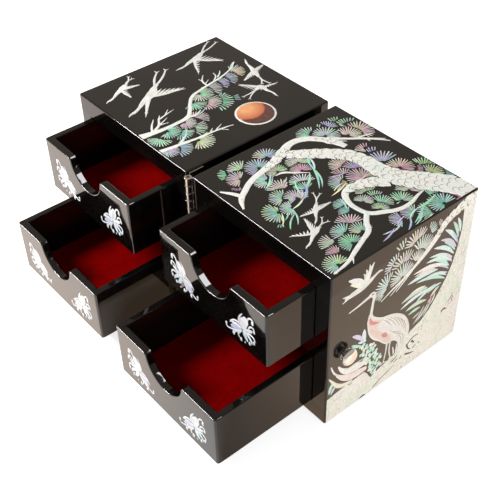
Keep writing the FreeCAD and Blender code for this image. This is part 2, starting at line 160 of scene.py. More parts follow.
def tidyNormals(piece, mergeAt=0.002):
    # mergeAt in millimetres
    pick(piece)
    bpy.ops.object.mode_set(mode="EDIT")
    bpy.ops.mesh.select_all(action="SELECT")
    bpy.ops.mesh.remove_doubles(threshold=mergeAt * mm)
    bpy.ops.mesh.normals_make_consistent(inside=False)
    bpy.ops.object.mode_set(mode="OBJECT")


def hand(piece, body, slot, material, *nodes, smooth=35, weighted=True):
    # last step of every piece: smoothing, finish, what it rides on and stands for
    piece.data.name = piece.name
    pick(piece)
    bpy.ops.object.shade_smooth_by_angle(angle=math.radians(smooth))
    if weighted:
        useModifier(piece, "WEIGHTED_NORMAL", keep_sharp=True)
    piece.data.materials.clear()
    piece.data.materials.append(material)
    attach(piece, body)
    if nodes:
        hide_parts(*nodes)
    return piece


# materials

shellCoat = {"Coat Weight": 0.6, "Coat Roughness": 0.05}     # the clear lacquer over all cut shell


def blank(name):
    # a new material with its shader and the coordinates all patterns use
    material = bpy.data.materials.new(name)
    material.use_nodes = True
    nodes = material.node_tree.nodes
    links = material.node_tree.links
    shader = nodes["Principled BSDF"]
    place = nodes.new("ShaderNodeTexCoord")
    return material, nodes, links, shader, place


def noiseNode(nodes, links, place, scale, detail=3.0, rough=0.5, stretch=(1, 1, 1)):
    # cloudy pattern on object coordinates, scale in patches per metre
    mapping = nodes.new("ShaderNodeMapping")
    mapping.inputs["Scale"].default_value = stretch
    links.new(place.outputs["Object"], mapping.inputs["Vector"])
    noise = nodes.new("ShaderNodeTexNoise")
    noise.inputs["Scale"].default_value = scale
    noise.inputs["Detail"].default_value = detail
    noise.inputs["Roughness"].default_value = rough
    links.new(mapping.outputs["Vector"], noise.inputs["Vector"])
    return noise


def rampNode(nodes, links, source, stops):
    # stops: place along the ramp and its colour; gives the colour socket
    ramp = nodes.new("ShaderNodeValToRGB")
    line = ramp.color_ramp
    while len(line.elements) < len(stops):
        line.elements.new(0.5)
    for element, (spot, colour) in zip(line.elements, stops):
        element.position = spot
        element.color = (*colour, 1)
    links.new(source, ramp.inputs["Fac"])
    return ramp.outputs["Color"]


def rangeNode(nodes, links, source, low, high, fromLow=0.3, fromHigh=0.7):
    # the source's range from fromLow to fromHigh becomes low to high; gives the value socket
    remap = nodes.new("ShaderNodeMapRange")
    remap.inputs["From Min"].default_value = fromLow
    remap.inputs["From Max"].default_value = fromHigh
    remap.inputs["To Min"].default_value = low
    remap.inputs["To Max"].default_value = high
    links.new(source, remap.inputs["Value"])
    return remap.outputs["Result"]


def roughen(nodes, links, shader, source, low, high):
    # roughness that follows a pattern
    links.new(rangeNode(nodes, links, source, low, high), shader.inputs["Roughness"])


def mixNode(nodes, links, blend, factor, a, b):
    # factor, a and b are sockets or plain values
    mix = nodes.new("ShaderNodeMix")
    mix.data_type = "RGBA"
    mix.blend_type = blend
    for socket, value in ((mix.inputs[0], factor), (mix.inputs[6], a), (mix.inputs[7], b)):
        if isinstance(value, bpy.types.NodeSocket):
            links.new(value, socket)
        elif isinstance(value, (int, float)):
            socket.default_value = value
        else:
            socket.default_value = (*value, 1)
    return mix.outputs[2]


def bumpNode(nodes, links, shader, height, strength, distance, below=None):
    # distance in millimetres; below is a coarser bump under this one
    bump = nodes.new("ShaderNodeBump")
    bump.inputs["Strength"].default_value = strength
    bump.inputs["Distance"].default_value = distance * mm
    links.new(height, bump.inputs["Height"])
    if below is not None:
        links.new(below.outputs["Normal"], bump.inputs["Normal"])
    links.new(bump.outputs["Normal"], shader.inputs["Normal"])
    return bump


lacquerLook = {
    "black": (0.0022, 0.0018, 0.0017),
    "warm": (0.0060, 0.0046, 0.0040),
    "roughness": (0.03, 0.07),
    "shine": {"top": 1.5, "side": 1.58, "wall": 1.39, "front": 1.6},     # index of refraction of each copy of the one lacquer: a painted reflection, stronger on the sides and fronts, weaker on the drawer walls
    # clear coat on the front copy alone, adding to its painted reflection
    "frontCoat": 0.3,
}


def makeLacquer(name, ior, coat=0.0):
    # black polished lacquer: slight clouds in the black, faint polishing waves
    material, nodes, links, shader, place = blank(name)
    clouds = noiseNode(nodes, links, place, 42, 4, 0.6)
    tone = rampNode(nodes, links, clouds.outputs["Fac"], [(0.3, lacquerLook["black"]), (0.75, lacquerLook["warm"])])
    links.new(tone, shader.inputs["Base Color"])
    wear = noiseNode(nodes, links, place, 160, 5, 0.65)
    roughen(nodes, links, shader, wear.outputs["Fac"], *lacquerLook["roughness"])
    shader.inputs["IOR"].default_value = ior
    shader.inputs["Coat Weight"].default_value = coat
    shader.inputs["Coat Roughness"].default_value = 0.03
    peel = noiseNode(nodes, links, place, 95, 2, 0.4)
    bumpNode(nodes, links, shader, peel.outputs["Fac"], 0.10, 0.12)
    return material


feltLook = {"deep": (0.13, 0.0001, 0.0002), "bright": (0.31, 0.0004, 0.0008), "sheen": 0.03,
            "sheenTint": (1, 0.25, 0.2, 1)}


def makeFelt():
    # short red felt: matted fibres, a little sheen
    material, nodes, links, shader, place = blank("redFelt")
    fibres = noiseNode(nodes, links, place, 1500, 6, 0.7)
    matting = noiseNode(nodes, links, place, 120, 3, 0.55)
    deep = rampNode(nodes, links, fibres.outputs["Fac"], [(0.28, feltLook["deep"]), (0.72, feltLook["bright"])])
    soft = rampNode(nodes, links, matting.outputs["Fac"], [(0.3, (0.80, 0.80, 0.80)), (0.7, (1, 1, 1))])
    colour = mixNode(nodes, links, "MULTIPLY", 1.0, deep, soft)
    links.new(colour, shader.inputs["Base Color"])
    shader.inputs["Roughness"].default_value = 0.95
    shader.inputs["Specular IOR Level"].default_value = 0.02
    shader.inputs["Sheen Weight"].default_value = feltLook["sheen"]
    shader.inputs["Sheen Roughness"].default_value = 0.5
    shader.inputs["Sheen Tint"].default_value = feltLook["sheenTint"]
    under = bumpNode(nodes, links, shader, matting.outputs["Fac"], 0.3, 0.2)
    bumpNode(nodes, links, shader, fibres.outputs["Fac"], 0.6, 0.12, under)
    return material


# colour, roughness from bright to dull, grain per metre, its stretch and its depth
metalLook = {
    "nickel": ((0.78, 0.75, 0.70), (0.16, 0.34), 900, (1, 1, 0.1), 0.3),
    "chrome": ((0.80, 0.80, 0.79), (0.03, 0.08), 700, (1, 1, 1), 0.05),
    # a darker copy of the nickel for the hinge: painted shade for the dark surroundings its barrel mirrors
    "hingeNickel": ((0.58, 0.53, 0.49), (0.10, 0.22), 900, (1, 1, 0.1), 0.15),
    "steelPin": ((0.20, 0.13, 0.11), (0.25, 0.45), 900, (1, 1, 1), 0.3),
}


def makeMetal(name, colour, roughness, grainScale, stretch, strength):
    # plated metal with fine drawn marks and small tarnish clouds
    material, nodes, links, shader, place = blank(name)
    shader.inputs["Metallic"].default_value = 1.0
    grain = noiseNode(nodes, links, place, grainScale, 4, 0.6, stretch)
    spots = noiseNode(nodes, links, place, 240, 4, 0.6)
    dull = [c * 0.82 for c in colour]
    tone = rampNode(nodes, links, spots.outputs["Fac"], [(0.3, dull), (0.65, colour)])
    links.new(tone, shader.inputs["Base Color"])
    roughen(nodes, links, shader, grain.outputs["Fac"], *roughness)
    bumpNode(nodes, links, shader, grain.outputs["Fac"], strength, 0.02)
    return material


shellLook = {
    "ivory": (0.95, 0.94, 0.88),
    "rock": (0.93, 0.94, 0.89),
    "rose": (0.92, 0.82, 0.76),
    "mint": (0.80, 0.90, 0.80),
    "seam": (0.45, 0.42, 0.36),
    "rockScale": 190,
}


def makeShell(name, seamScale=0, seamWidth=0.05, stretch=(1, 1, 1), seamShare=0.5, spread=1.0, base="ivory"):
    # white mother of pearl: pale clouds of rose and mint, and cut seams where it is pieced
    material, nodes, links, shader, place = blank(name)
    hueNoise = noiseNode(nodes, links, place, 135, 3, 0.6, stretch)
    ivory = shellLook[base]
    rose = [i + (r - i) * spread for i, r in zip(ivory, shellLook["rose"])]
    mint = [i + (m - i) * spread for i, m in zip(ivory, shellLook["mint"])]
    colour = rampNode(nodes, links, hueNoise.outputs["Fac"], [(0.32, mint), (0.46, ivory), (0.6, ivory), (0.74, rose)])
    layers = noiseNode(nodes, links, place, 900, 3, 0.6, stretch)
    fine = rampNode(nodes, links, layers.outputs["Fac"], [(0.3, (0.90, 0.90, 0.88)), (0.6, (1, 1, 1))])
    colour = mixNode(nodes, links, "MULTIPLY", 1.0, colour, fine)
    under = bumpNode(nodes, links, shader, layers.outputs["Fac"], 0.15, 0.05)
    if seamScale:
        warp = noiseNode(nodes, links, place, seamScale * 1.6, 2, 0.5)
        bent = nodes.new("ShaderNodeVectorMath")
        bent.operation = "MULTIPLY_ADD"
        bent.inputs[1].default_value = (0.004, 0.004, 0.004)
        links.new(warp.outputs["Color"], bent.inputs[0])
        links.new(place.outputs["Object"], bent.inputs[2])
        mapping = nodes.new("ShaderNodeMapping")
        mapping.inputs["Scale"].default_value = stretch
        links.new(bent.outputs["Vector"], mapping.inputs["Vector"])
        cells = nodes.new("ShaderNodeTexVoronoi")
        cells.feature = "DISTANCE_TO_EDGE"
        cells.inputs["Scale"].default_value = seamScale
        links.new(mapping.outputs["Vector"], cells.inputs["Vector"])
        tints = nodes.new("ShaderNodeTexVoronoi")
        tints.inputs["Scale"].default_value = seamScale
        links.new(mapping.outputs["Vector"], tints.inputs["Vector"])
        each = rampNode(nodes, links, tints.outputs["Color"], [
            (0.1, (0.84, 0.93, 0.84)), (0.35, (1, 0.99, 0.95)), (0.65, (1, 0.97, 0.93)), (0.9, (0.93, 0.88, 0.86))])
        colour = mixNode(nodes, links, "MULTIPLY", 0.8, colour, each)
        broken = noiseNode(nodes, links, place, seamScale * 0.9, 2, 0.5)
        width = rangeNode(nodes, links, broken.outputs["Fac"], -seamWidth * (1 - seamShare) * 2, seamWidth * 1.6,
                          0.35, 0.65)
        line = nodes.new("ShaderNodeMath")
        line.operation = "LESS_THAN"
        links.new(cells.outputs["Distance"], line.inputs[0])
        links.new(width, line.inputs[1])
        colour = mixNode(nodes, links, "MIX", line.outputs["Value"], colour, shellLook["seam"])
        edge = rangeNode(nodes, links, cells.outputs["Distance"], 0, 1, 0, seamWidth * 1.5)
        bumpNode(nodes, links, shader, edge, 0.35, 0.1, under)
    links.new(colour, shader.inputs["Base Color"])
    roughen(nodes, links, shader, layers.outputs["Fac"], 0.16, 0.32)
    for socket, value in shellCoat.items():
        shader.inputs[socket].default_value = value
    return material


def makeAbalone(name="abaloneShell", play=0.42, pale=0.0):
    # blue-green shell: the tint painted on each leaf, drifting through green, violet and rose
    material, nodes, links, shader, place = blank(name)
    tint = nodes.new("ShaderNodeAttribute")
    tint.attribute_name = "tint"
    drift = noiseNode(nodes, links, place, 380, 3, 0.6)
    hues = rampNode(nodes, links, drift.outputs["Fac"], [
        (0.30, (0.16, 0.95, 0.72)), (0.40, (0.42, 1.0, 0.45)), (0.48, (1.0, 0.95, 0.70)), (0.55, (1.0, 0.55, 0.75)),
        (0.64, (0.50, 0.55, 1.0)), (0.74, (0.20, 0.80, 0.90))])
    hued = mixNode(nodes, links, "MULTIPLY", 1.0, tint.outputs["Color"], hues)
    hued = mixNode(nodes, links, "MULTIPLY", 1.0, hued, (1.5, 1.5, 1.5))
    colour = mixNode(nodes, links, "MIX", play, tint.outputs["Color"], hued)
    if pale:
        colour = mixNode(nodes, links, "MIX", pale, colour, shellLook["ivory"])
    streak = noiseNode(nodes, links, place, 1100, 4, 0.7)
    lines = rampNode(nodes, links, streak.outputs["Fac"], [(0.34, (0.74, 0.78, 0.80)), (0.55, (1, 1, 1))])
    colour = mixNode(nodes, links, "MULTIPLY", 0.8, colour, lines)
    links.new(colour, shader.inputs["Base Color"])
    roughen(nodes, links, shader, streak.outputs["Fac"], 0.14, 0.3)
    for socket, value in shellCoat.items():
        shader.inputs[socket].default_value = value
    bumpNode(nodes, links, shader, streak.outputs["Fac"], 0.2, 0.05)
    return material


def makeSunShell():
    # amber shell disc, pieced from a bright and a dark half
    material, nodes, links, shader, place = blank("sunShell")
    clouds = noiseNode(nodes, links, place, 420, 4, 0.6)
    away = nodes.new("ShaderNodeVectorMath")
    away.operation = "DISTANCE"
    away.inputs[1].default_value = [value * mm for value in sunLook["brightCentre"]]
    links.new(place.outputs["Object"], away.inputs[0])
    ragged = nodes.new("ShaderNodeMath")
    ragged.operation = "MULTIPLY_ADD"
    ragged.inputs[1].default_value = 0.0022
    links.new(clouds.outputs["Fac"], ragged.inputs[0])
    links.new(away.outputs["Value"], ragged.inputs[2])
    reach = (sunLook["brightRadius"] + 1.1) * mm
    edge = rangeNode(nodes, links, ragged.outputs["Value"], 0, 1, reach - 0.0004, reach + 0.0004)
    bright = rampNode(nodes, links, clouds.outputs["Fac"], [(0.3, sunLook["glow"]), (0.7, sunLook["peach"])])
    dark = rampNode(nodes, links, clouds.outputs["Fac"], [(0.3, sunLook["shade"]), (0.7, sunLook["brown"])])
    rimward = rangeNode(nodes, links, ragged.outputs["Value"], 0, 1, 0.0042, reach)
    lit = mixNode(nodes, links, "MIX", rimward, bright, sunLook["ember"])
    colour = mixNode(nodes, links, "MIX", edge, lit, dark)
    links.new(colour, shader.inputs["Base Color"])
    roughen(nodes, links, shader, clouds.outputs["Fac"], 0.12, 0.25)
    shader.inputs["Coat Weight"].default_value = 0.5
    bumpNode(nodes, links, shader, clouds.outputs["Fac"], 0.1, 0.05)
    return material


def makeTinted(name):
    # shell or paint whose colour is painted on the piece, with a pearly cloud
    material, nodes, links, shader, place = blank(name)
    tint = nodes.new("ShaderNodeAttribute")
    tint.attribute_name = "tint"
    clouds = noiseNode(nodes, links, place, 300, 4, 0.6)
    soft = rampNode(nodes, links, clouds.outputs["Fac"], [(0.3, (0.84, 0.86, 0.86)), (0.62, (1, 1, 1))])
    colour = mixNode(nodes, links, "MULTIPLY", 1.0, tint.outputs["Color"], soft)
    links.new(colour, shader.inputs["Base Color"])
    roughen(nodes, links, shader, clouds.outputs["Fac"], 0.15, 0.3)
    for socket, value in shellCoat.items():
        shader.inputs[socket].default_value = value
    bumpNode(nodes, links, shader, clouds.outputs["Fac"], 0.1, 0.04)
    return material


sunLook = {
    "ringWidth": 1.3,
    "brightCentre": (-27.1, 40.1, 101.8),        # of its bright half
    "brightRadius": 10.8,
    "glow": (0.90, 0.34, 0.13),
    "peach": (0.95, 0.50, 0.22),
    "ember": (0.62, 0.13, 0.05),
    "brown": (0.14, 0.035, 0.022),
    "shade": (0.075, 0.018, 0.014),
}

# one black lacquer in four copies that differ only in how strongly they reflect: a painted reflection set per face
lacquer = makeLacquer("blackLacquer", lacquerLook["shine"]["top"])
lacquerSide = makeLacquer("blackLacquerSide", lacquerLook["shine"]["side"])
lacquerWall = makeLacquer("blackLacquerWall", lacquerLook["shine"]["wall"])
lacquerFront = makeLacquer("blackLacquerFront", lacquerLook["shine"]["front"], lacquerLook["frontCoat"])
felt = makeFelt()
nickel, chrome, hingeNickel, steel = (makeMetal(name, *look) for name, look in metalLook.items())
shellBark = makeShell("shellBark", spread=0.8)
shellRock = makeShell("shellRock", shellLook["rockScale"], 0.014, (1, 1.5, 0.7), 0.3, 1.5, "rock")
shellWhite = makeShell("shellWhite")
shellTinted = makeTinted("shellTinted")
shellPearl = makeAbalone("pearlyShell", 0.3, 0.38)
abalone = makeAbalone()
sunShell = makeSunShell()
print("materials made:", len(bpy.data.materials))


# cabinets: lacquered boards with softly rounded outer edges

boardLook = {
    "edgeRadius": 1.0,       # outer edges of the cabinet
    "mouthRadius": 0.3,      # front edges round the drawer bays
    "boards": ["top_board", "bottom_board", "hinge_side", "outer_side", "back_board", "shelf"],
}


def boxOf(nodes):
    # the corners of the box round several nodes
    lows, highs = zip(*(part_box(node) for node in nodes))
    low = Vector([min(p[k] for p in lows) for k in range(3)])
    high = Vector([max(p[k] for p in highs) for k in range(3)])
    return low, high


def makeCabinet(side):
    # an edge on two of the cabinet's outer planes is an outer edge, on the front plane alone a mouth edge
    nodes = [f"{side}_{name}" for name in boardLook["boards"]]
    outer = boxOf(nodes)
    planes = [(k, corner[k]) for k in range(3) for corner in outer]
    front = outer[0].y
    for node in nodes:
        low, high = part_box(node)
        piece = block(pieceName(node) + "Lacquered", low, high)
        roundEdges(piece, boardLook["edgeRadius"],
                   lambda a, b: sum(both(a, b, *plane) for plane in planes) >= 2, 4)
        if not node.endswith(("top_board", "bottom_board", "back_board")):
            roundEdges(piece, boardLook["mouthRadius"],
                       lambda a, b: both(a, b, 1, front) and sum(both(a, b, *plane) for plane in planes) == 1
                       and (a - b).length > 0.02, 2)
        # the sides and back take the copy with the stronger painted reflection
        finish = lacquerSide if node.endswith(("_side", "back_board")) else lacquer
        hand(piece, f"{side}_cabinet", "lacquer", finish, node)


for side in ("right", "left"):
    makeCabinet(side)
print("cabinets made")


# drawers

drawerLook = {
    "cornerRadius": 1.4,     # upright corners of the front
    "rimRadius": 0.6,        # top edges and scoop
    "scoopRadius": 14.3,
    "scoopShoulder": 2.0,
    "rearRadius": 0.8,
    "liningRadius": 0.35,
}


def scoopOutline():
    # half the outline, then its mirror image: shoulder, then the round bite, about the middle of the top edge
    r = drawerLook["scoopRadius"]
    s = drawerLook["scoopShoulder"]
    reach = math.sqrt((r + s) ** 2 - s ** 2)
    slope = math.asin(s / (r + s))
    half = [(reach, 8)]
    for n in range(9):
        turn = math.pi / 2 + (math.pi / 2 - slope) * n / 8
        half.append((reach + s * math.cos(turn), s * math.sin(turn) - s))
    for n in range(1, 22):
        turn = -slope - (math.pi / 2 - slope) * n / 22
        half.append((r * math.cos(turn), r * math.sin(turn)))
    return half + [(0, -r)] + [(-x, y) for x, y in reversed(half)]


def flatShape(name, outline, thickness, smooth=False):
    # a closed outline drawn flat and given a thickness, in millimetres, centred on the drawing plane
    data = bpy.data.curves.new(name, "CURVE")
    data.dimensions = "2D"
    data.fill_mode = "BOTH"
    data.extrude = thickness / 2
    if smooth:
        spline = data.splines.new("BEZIER")
        spline.bezier_points.add(len(outline) - 1)
        for spot, (x, y) in zip(spline.bezier_points, outline):
            spot.co = (x, y, 0)
            spot.handle_left_type = spot.handle_right_type = "AUTO"
        spline.resolution_u = 4
    else:
        spline = data.splines.new("POLY")
        spline.points.add(len(outline) - 1)
        for spot, (x, y) in zip(spline.points, outline):
            spot.co = (x, y, 0, 1)
    spline.use_cyclic_u = True
    shape = bpy.data.objects.new(name, data)
    bpy.context.scene.collection.objects.link(shape)
    pick(shape)
    bpy.ops.object.convert(target="MESH")
    return bpy.context.object


def makeDrawer(drawer):
    # the front is cut out of a block, and the walls, back, bottom and lining follow their solids
    body = f"{drawer}_drawer"
    label = pieceName(body)
    low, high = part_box(f"{body}_front")
    innerLow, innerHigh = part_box(f"{body}_back")
    top, middle = high.z, (low.x + high.x) / 2

    front = block(label + "Front", low, high)
    roundEdges(front, drawerLook["cornerRadius"],
               lambda a, b: both(a, b, 1, low.y) and (both(a, b, 0, low.x) or both(a, b, 0, high.x)), 8)
    cutter = flatShape("scoopCutter", scoopOutline(), 30)
    cutter.data.transform(Matrix.Translation((middle, (low.y + high.y) / 2, top)) @ Matrix.Rotation(math.pi / 2, 4, "X")
                          @ Matrix.Diagonal((mm, mm, mm, 1)))
    tidyNormals(cutter)
    useModifier(front, "BOOLEAN", operation="DIFFERENCE", object=cutter, solver="EXACT")
    bpy.data.objects.remove(cutter)
    for x in (innerLow.x, innerHigh.x):          # where the walls meet it, so that the rim ends there
        pick(front)
        bpy.ops.object.mode_set(mode="EDIT")
        bpy.ops.mesh.select_all(action="SELECT")
        bpy.ops.mesh.bisect(plane_co=(x, 0, 0), plane_no=(1, 0, 0))
        bpy.ops.object.mode_set(mode="OBJECT")

    mouth = (drawerLook["scoopRadius"] + drawerLook["scoopShoulder"] + 0.9) * mm
    depth = (drawerLook["scoopRadius"] + 0.3) * mm

    def onRim(a, b):
        centred = max(abs(a.x - middle), abs(b.x - middle))
        if both(a, b, 2, top):
            if both(a, b, 1, high.y):
                return centred < (innerHigh.x - innerLow.x) / 2 + 1e-5
            return centred > mouth or abs(a.x - b.x) > 1e-5
        onFace = both(a, b, 1, low.y) or both(a, b, 1, high.y)
        return onFace and centred < mouth and min(a.z, b.z) > top - depth

    roundEdges(front, drawerLook["rimRadius"], onRim, 4)
    hand(front, body, "lacquer", lacquerFront, f"{body}_front")
    # its face takes the copy with the stronger painted reflection, its back and rim the weaker one
    front.data.materials.append(lacquerWall)
    for face in front.data.polygons:
        face.material_index = 1 if face.normal.y > -0.35 else 0

    for part in ("hinge_wall", "outer_wall", "back", "bottom"):
        node = f"{body}_{part}"
        partLow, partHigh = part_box(node)
        piece = block(pieceName(node), partLow, partHigh)
        if part.endswith("wall"):
            outerX = partLow.x if abs(partLow.x - middle) > abs(partHigh.x - middle) else partHigh.x
            roundEdges(piece, drawerLook["rearRadius"],
                       lambda a, b: both(a, b, 0, outerX) and both(a, b, 1, partHigh.y), 3)
            roundEdges(piece, drawerLook["rimRadius"],
                       lambda a, b: both(a, b, 2, partHigh.z) and not both(a, b, 1, partLow.y), 3)
        elif part == "back":
            roundEdges(piece, drawerLook["rimRadius"],
                       lambda a, b: both(a, b, 2, partHigh.z) and abs(a.x - b.x) > 0.01, 3)
        # walls, back and bottom take the copy with the weaker painted reflection
        hand(piece, body, "lacquer", lacquerWall, node)

    node = f"{body}_lining"
    liningLow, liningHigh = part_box(node)
    lining = block(pieceName(node), liningLow, liningHigh)
    roundEdges(lining, drawerLook["liningRadius"], lambda a, b: both(a, b, 2, liningHigh.z), 2)
    hand(lining, body, "felt", felt, node)


for drawer in ("right_lower", "right_upper", "left_lower", "left_upper"):
    makeDrawer(drawer)
print("drawers made")


# piano hinge: leaves, knuckles, pin and screws

hingeLook = {
    "axis": (0.0, -20.2),
    "barrelRadius": 2.1,
    "boreRadius": 0.98,
    "pinRadius": 0.9,
    "knuckleGap": 0.2,
    "count": 21,
    "rimRadius": 0.25,
    "leaf": (1.8, 2.6),          # inner and outer face of each leaf, from the axis
    "leafStart": 2.45,           # behind the axis
    "tabStart": 0.4,
    "tabLap": 0.3,
    "leafEdge": 0.2,
    "screws": 5,                 # in each leaf
    "screwRadius": 1.9,
    "screwSetback": 6.6,         # behind the cabinet's front
    "slot": (0.35, 1.3),         # half width and half length of the cross in each head
}


def turnedPiece(name, rings, segments=40):
    # a filled circle drawn up ring by ring: radius and height of each, in millimetres
    clearSelection()
    radius, height = rings[0]
    bpy.ops.mesh.primitive_circle_add(vertices=segments, radius=radius * mm, fill_type="NGON",
                                      location=(0, 0, height * mm))
    piece = bpy.context.object
    piece.name = name
    settle(piece)
    bpy.ops.object.mode_set(mode="EDIT")
    bpy.ops.mesh.select_all(action="SELECT")
    for nextRadius, nextHeight in rings[1:]:
        share = nextRadius / radius
        bpy.ops.mesh.extrude_region_move(TRANSFORM_OT_translate={"value": (0, 0, (nextHeight - height) * mm)})
        bpy.ops.transform.resize(value=(share, share, 1), center_override=(0, 0, nextHeight * mm))
        radius, height = nextRadius, nextHeight
    bpy.ops.object.mode_set(mode="OBJECT")
    tidyNormals(piece, 0.0005)
    return piece


def copyOf(piece, name, matrix):
    # a copy with a mesh of its own, moved by a matrix
    twin = piece.copy()
    twin.data = piece.data.copy()
    twin.name = name
    bpy.context.scene.collection.objects.link(twin)
    twin.data.transform(matrix)
    return twin


def makeKnuckle(length):
    # a short tube with softened rims
    rim = hingeLook["rimRadius"]
    radius = hingeLook["barrelRadius"]
    clearSelection()
    bpy.ops.mesh.primitive_cylinder_add(vertices=32, radius=radius * mm, depth=length * mm,
                                        location=(0, 0, length * mm / 2))
    piece = bpy.context.object
    settle(piece)
    roundEdges(piece, rim, lambda a, b: abs(a.z - b.z) < 1e-6, 3)
    chooseFaces(piece, lambda face: abs(face.normal.z) > 0.999)
    bpy.ops.mesh.inset(thickness=(radius - rim - hingeLook["boreRadius"]) * mm, use_individual=True)
    bpy.ops.mesh.bridge_edge_loops()
    bpy.ops.object.mode_set(mode="OBJECT")
    tidyNormals(piece, 0.0005)
    return piece


def makeScrewHead():
    # a low dome with a cross cut into it
    r = hingeLook["screwRadius"]
    halfWidth, halfLength = (value * mm for value in hingeLook["slot"])
    screw = turnedPiece("screwHead", [(r, -0.3), (r, 0.05), (r * 0.93, 0.12), (r * 0.6, 0.2), (r * 0.25, 0.22)], 24)
    for turn in (0, math.pi / 2):
        slot = block("slotCutter", (-halfWidth, -halfLength, -0.15 * mm), (halfWidth, halfLength, 1 * mm))
        slot.data.transform(Matrix.Rotation(turn, 4, "Z"))
        useModifier(screw, "BOOLEAN", operation="DIFFERENCE", object=slot, solver="EXACT")
        bpy.data.objects.remove(slot)
    return screw


def makeHinge():
    # the knuckles of the two leaves take turns along one pin
    axisX, axisY = (value * mm for value in hingeLook["axis"])
    pinLow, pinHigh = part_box("hinge_pin")
    length = pinHigh.z - pinLow.z
    pitch, gap = length / hingeLook["count"], hingeLook["knuckleGap"] * mm
    knuckle = makeKnuckle(pitch / mm - hingeLook["knuckleGap"])
    screw = makeScrewHead()
    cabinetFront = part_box("right_top_board")[0].y
    for side, first, way in (("right", 0, 1), ("left", 1, -1)):
        node = f"hinge_leaf_{side}"
        low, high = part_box(node)
        inner, outer = (way * value * mm for value in hingeLook["leaf"])
        leafLow, leafHigh = sorted((inner, outer))
        start = axisY + hingeLook["leafStart"] * mm
        leaf = block("leaf", (leafLow, start, low.z if side == "right" else pinLow.z), (leafHigh, high.y, pinHigh.z))
        roundEdges(leaf, hingeLook["leafEdge"], lambda a, b: both(a, b, 0, inner), 2)
        parts = [leaf]
        for n in range(first, hingeLook["count"], 2):
            base = pinLow.z + pitch * n + gap / 2
            parts.append(copyOf(knuckle, "knuckle", Matrix.Translation((axisX, axisY, base))))
            parts.append(block("tab", (leafLow, axisY + hingeLook["tabStart"] * mm, base),
                               (leafHigh, start + hingeLook["tabLap"] * mm, base + pitch - gap)))
        piece = joined(parts, side + "HingeLeaf")
        hand(piece, f"{side}_cabinet", "nickel", hingeNickel, node, smooth=30)
        heads = []
        for n in range(hingeLook["screws"]):
            z = pinLow.z + length * (n + 0.5) / hingeLook["screws"]
            spot = Matrix.Translation((inner, cabinetFront + hingeLook["screwSetback"] * mm, z))
            outwards = Matrix.Rotation(-way * math.pi / 2, 4, "Y") @ Matrix.Rotation(0.7 * n, 4, "Z")
            heads.append(copyOf(screw, "screw", spot @ outwards))
        hand(joined(heads, side + "HingeScrews"), f"{side}_cabinet", "nickel", nickel, smooth=25)
    bpy.data.objects.remove(knuckle)
    bpy.data.objects.remove(screw)
    r, tall = hingeLook["pinRadius"], length / mm
    rings = [(r * 0.6, 0), (r, 0.25), (r, tall - 0.25), (r * 0.8, tall - 0.08), (r * 0.35, tall)]
    pin = turnedPiece("hingePin", rings, 32)
    pin.data.transform(Matrix.Translation((axisX, axisY, pinLow.z)))
    hand(pin, "right_cabinet", "nickel", steel, "hinge_pin", smooth=30)


makeHinge()
print("hinge made")


# clasp: polished post on the right side, hook on the left

claspLook = {
    "foot": 3.4,             # radii of the post's foot, neck and head
    "neck": 2.0,
    "head": 4.8,
    "baseHeight": 0.8,       # where the neck starts
    "headFloor": 2.5,        # where the head starts
    "rim": 0.8,
    "crown": 2.4,
    "edges": {"clasp_hook": 0.25, "clasp_pivot": 0.12},
}


def makeClasp():
    look = claspLook
    foot, neck, head = look["foot"], look["neck"], look["head"]
    base, floor, rimTop = look["baseHeight"], look["headFloor"], look["headFloor"] + look["rim"]
    rings = [(foot - 0.1, 0.01), (foot, 0.15), (foot, base - 0.15), (foot - 0.15, base), (neck + 0.3, base),
             (neck, base + 0.3), (neck, floor - 0.25), (neck + 0.25, floor), (head - 0.35, floor), (head, floor + 0.35),
             (head, rimTop)]
    for n in range(1, 12):
        turn = math.radians(7.6 * n)
        rings.append((head * math.cos(turn), rimTop + look["crown"] * math.sin(turn)))
    low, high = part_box("clasp_post")
    centre = (low + high) / 2
    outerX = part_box("right_outer_side")[1].x
    post = turnedPiece("claspPost", rings, 56)
    post.data.transform(Matrix.Translation((outerX, centre.y, centre.z)) @ Matrix.Rotation(math.pi / 2, 4, "Y"))
    hand(post, "right_cabinet", "chrome", chrome, "clasp_post", smooth=38, weighted=False)

    # the hook and its screw are copies of their solids with softened edges
    for node, body in (("clasp_hook", "clasp_hook"), ("clasp_pivot", "left_cabinet")):
        piece = copyOf(frame["nodes"][node], pieceName(node), Matrix.Identity(4))
        for key in list(piece.keys()):
            del piece[key]
        piece.parent = None
        piece.hide_render = False
        tidyNormals(piece)
        pick(piece)
        bpy.ops.object.mode_set(mode="EDIT")
        bpy.ops.mesh.select_all(action="SELECT")
        bpy.ops.mesh.dissolve_limited(angle_limit=math.radians(1.0))
        bpy.ops.object.mode_set(mode="OBJECT")
        useModifier(piece, "BEVEL", width=look["edges"][node] * mm, segments=3, limit_method="ANGLE",
                    angle_limit=math.radians(50))
        hand(piece, body, "chrome", chrome, node, smooth=35)


makeClasp()
print("clasp made")


# panels that carry the inlay: corner, across, up and outward, in millimetres

def panelFrame(corner, across, up, rise=1.0):
    # from a drawing in millimetres to its place; rise flattens what is laid on it
    a, u = Vector(across), Vector(up)
    out = a.cross(u) * rise
    return Matrix(((a.x * mm, u.x * mm, out.x * mm, corner[0] * mm), (a.y * mm, u.y * mm, out.y * mm, corner[1] * mm),
                   (a.z * mm, u.z * mm, out.z * mm, corner[2] * mm), (0, 0, 0, 1)))


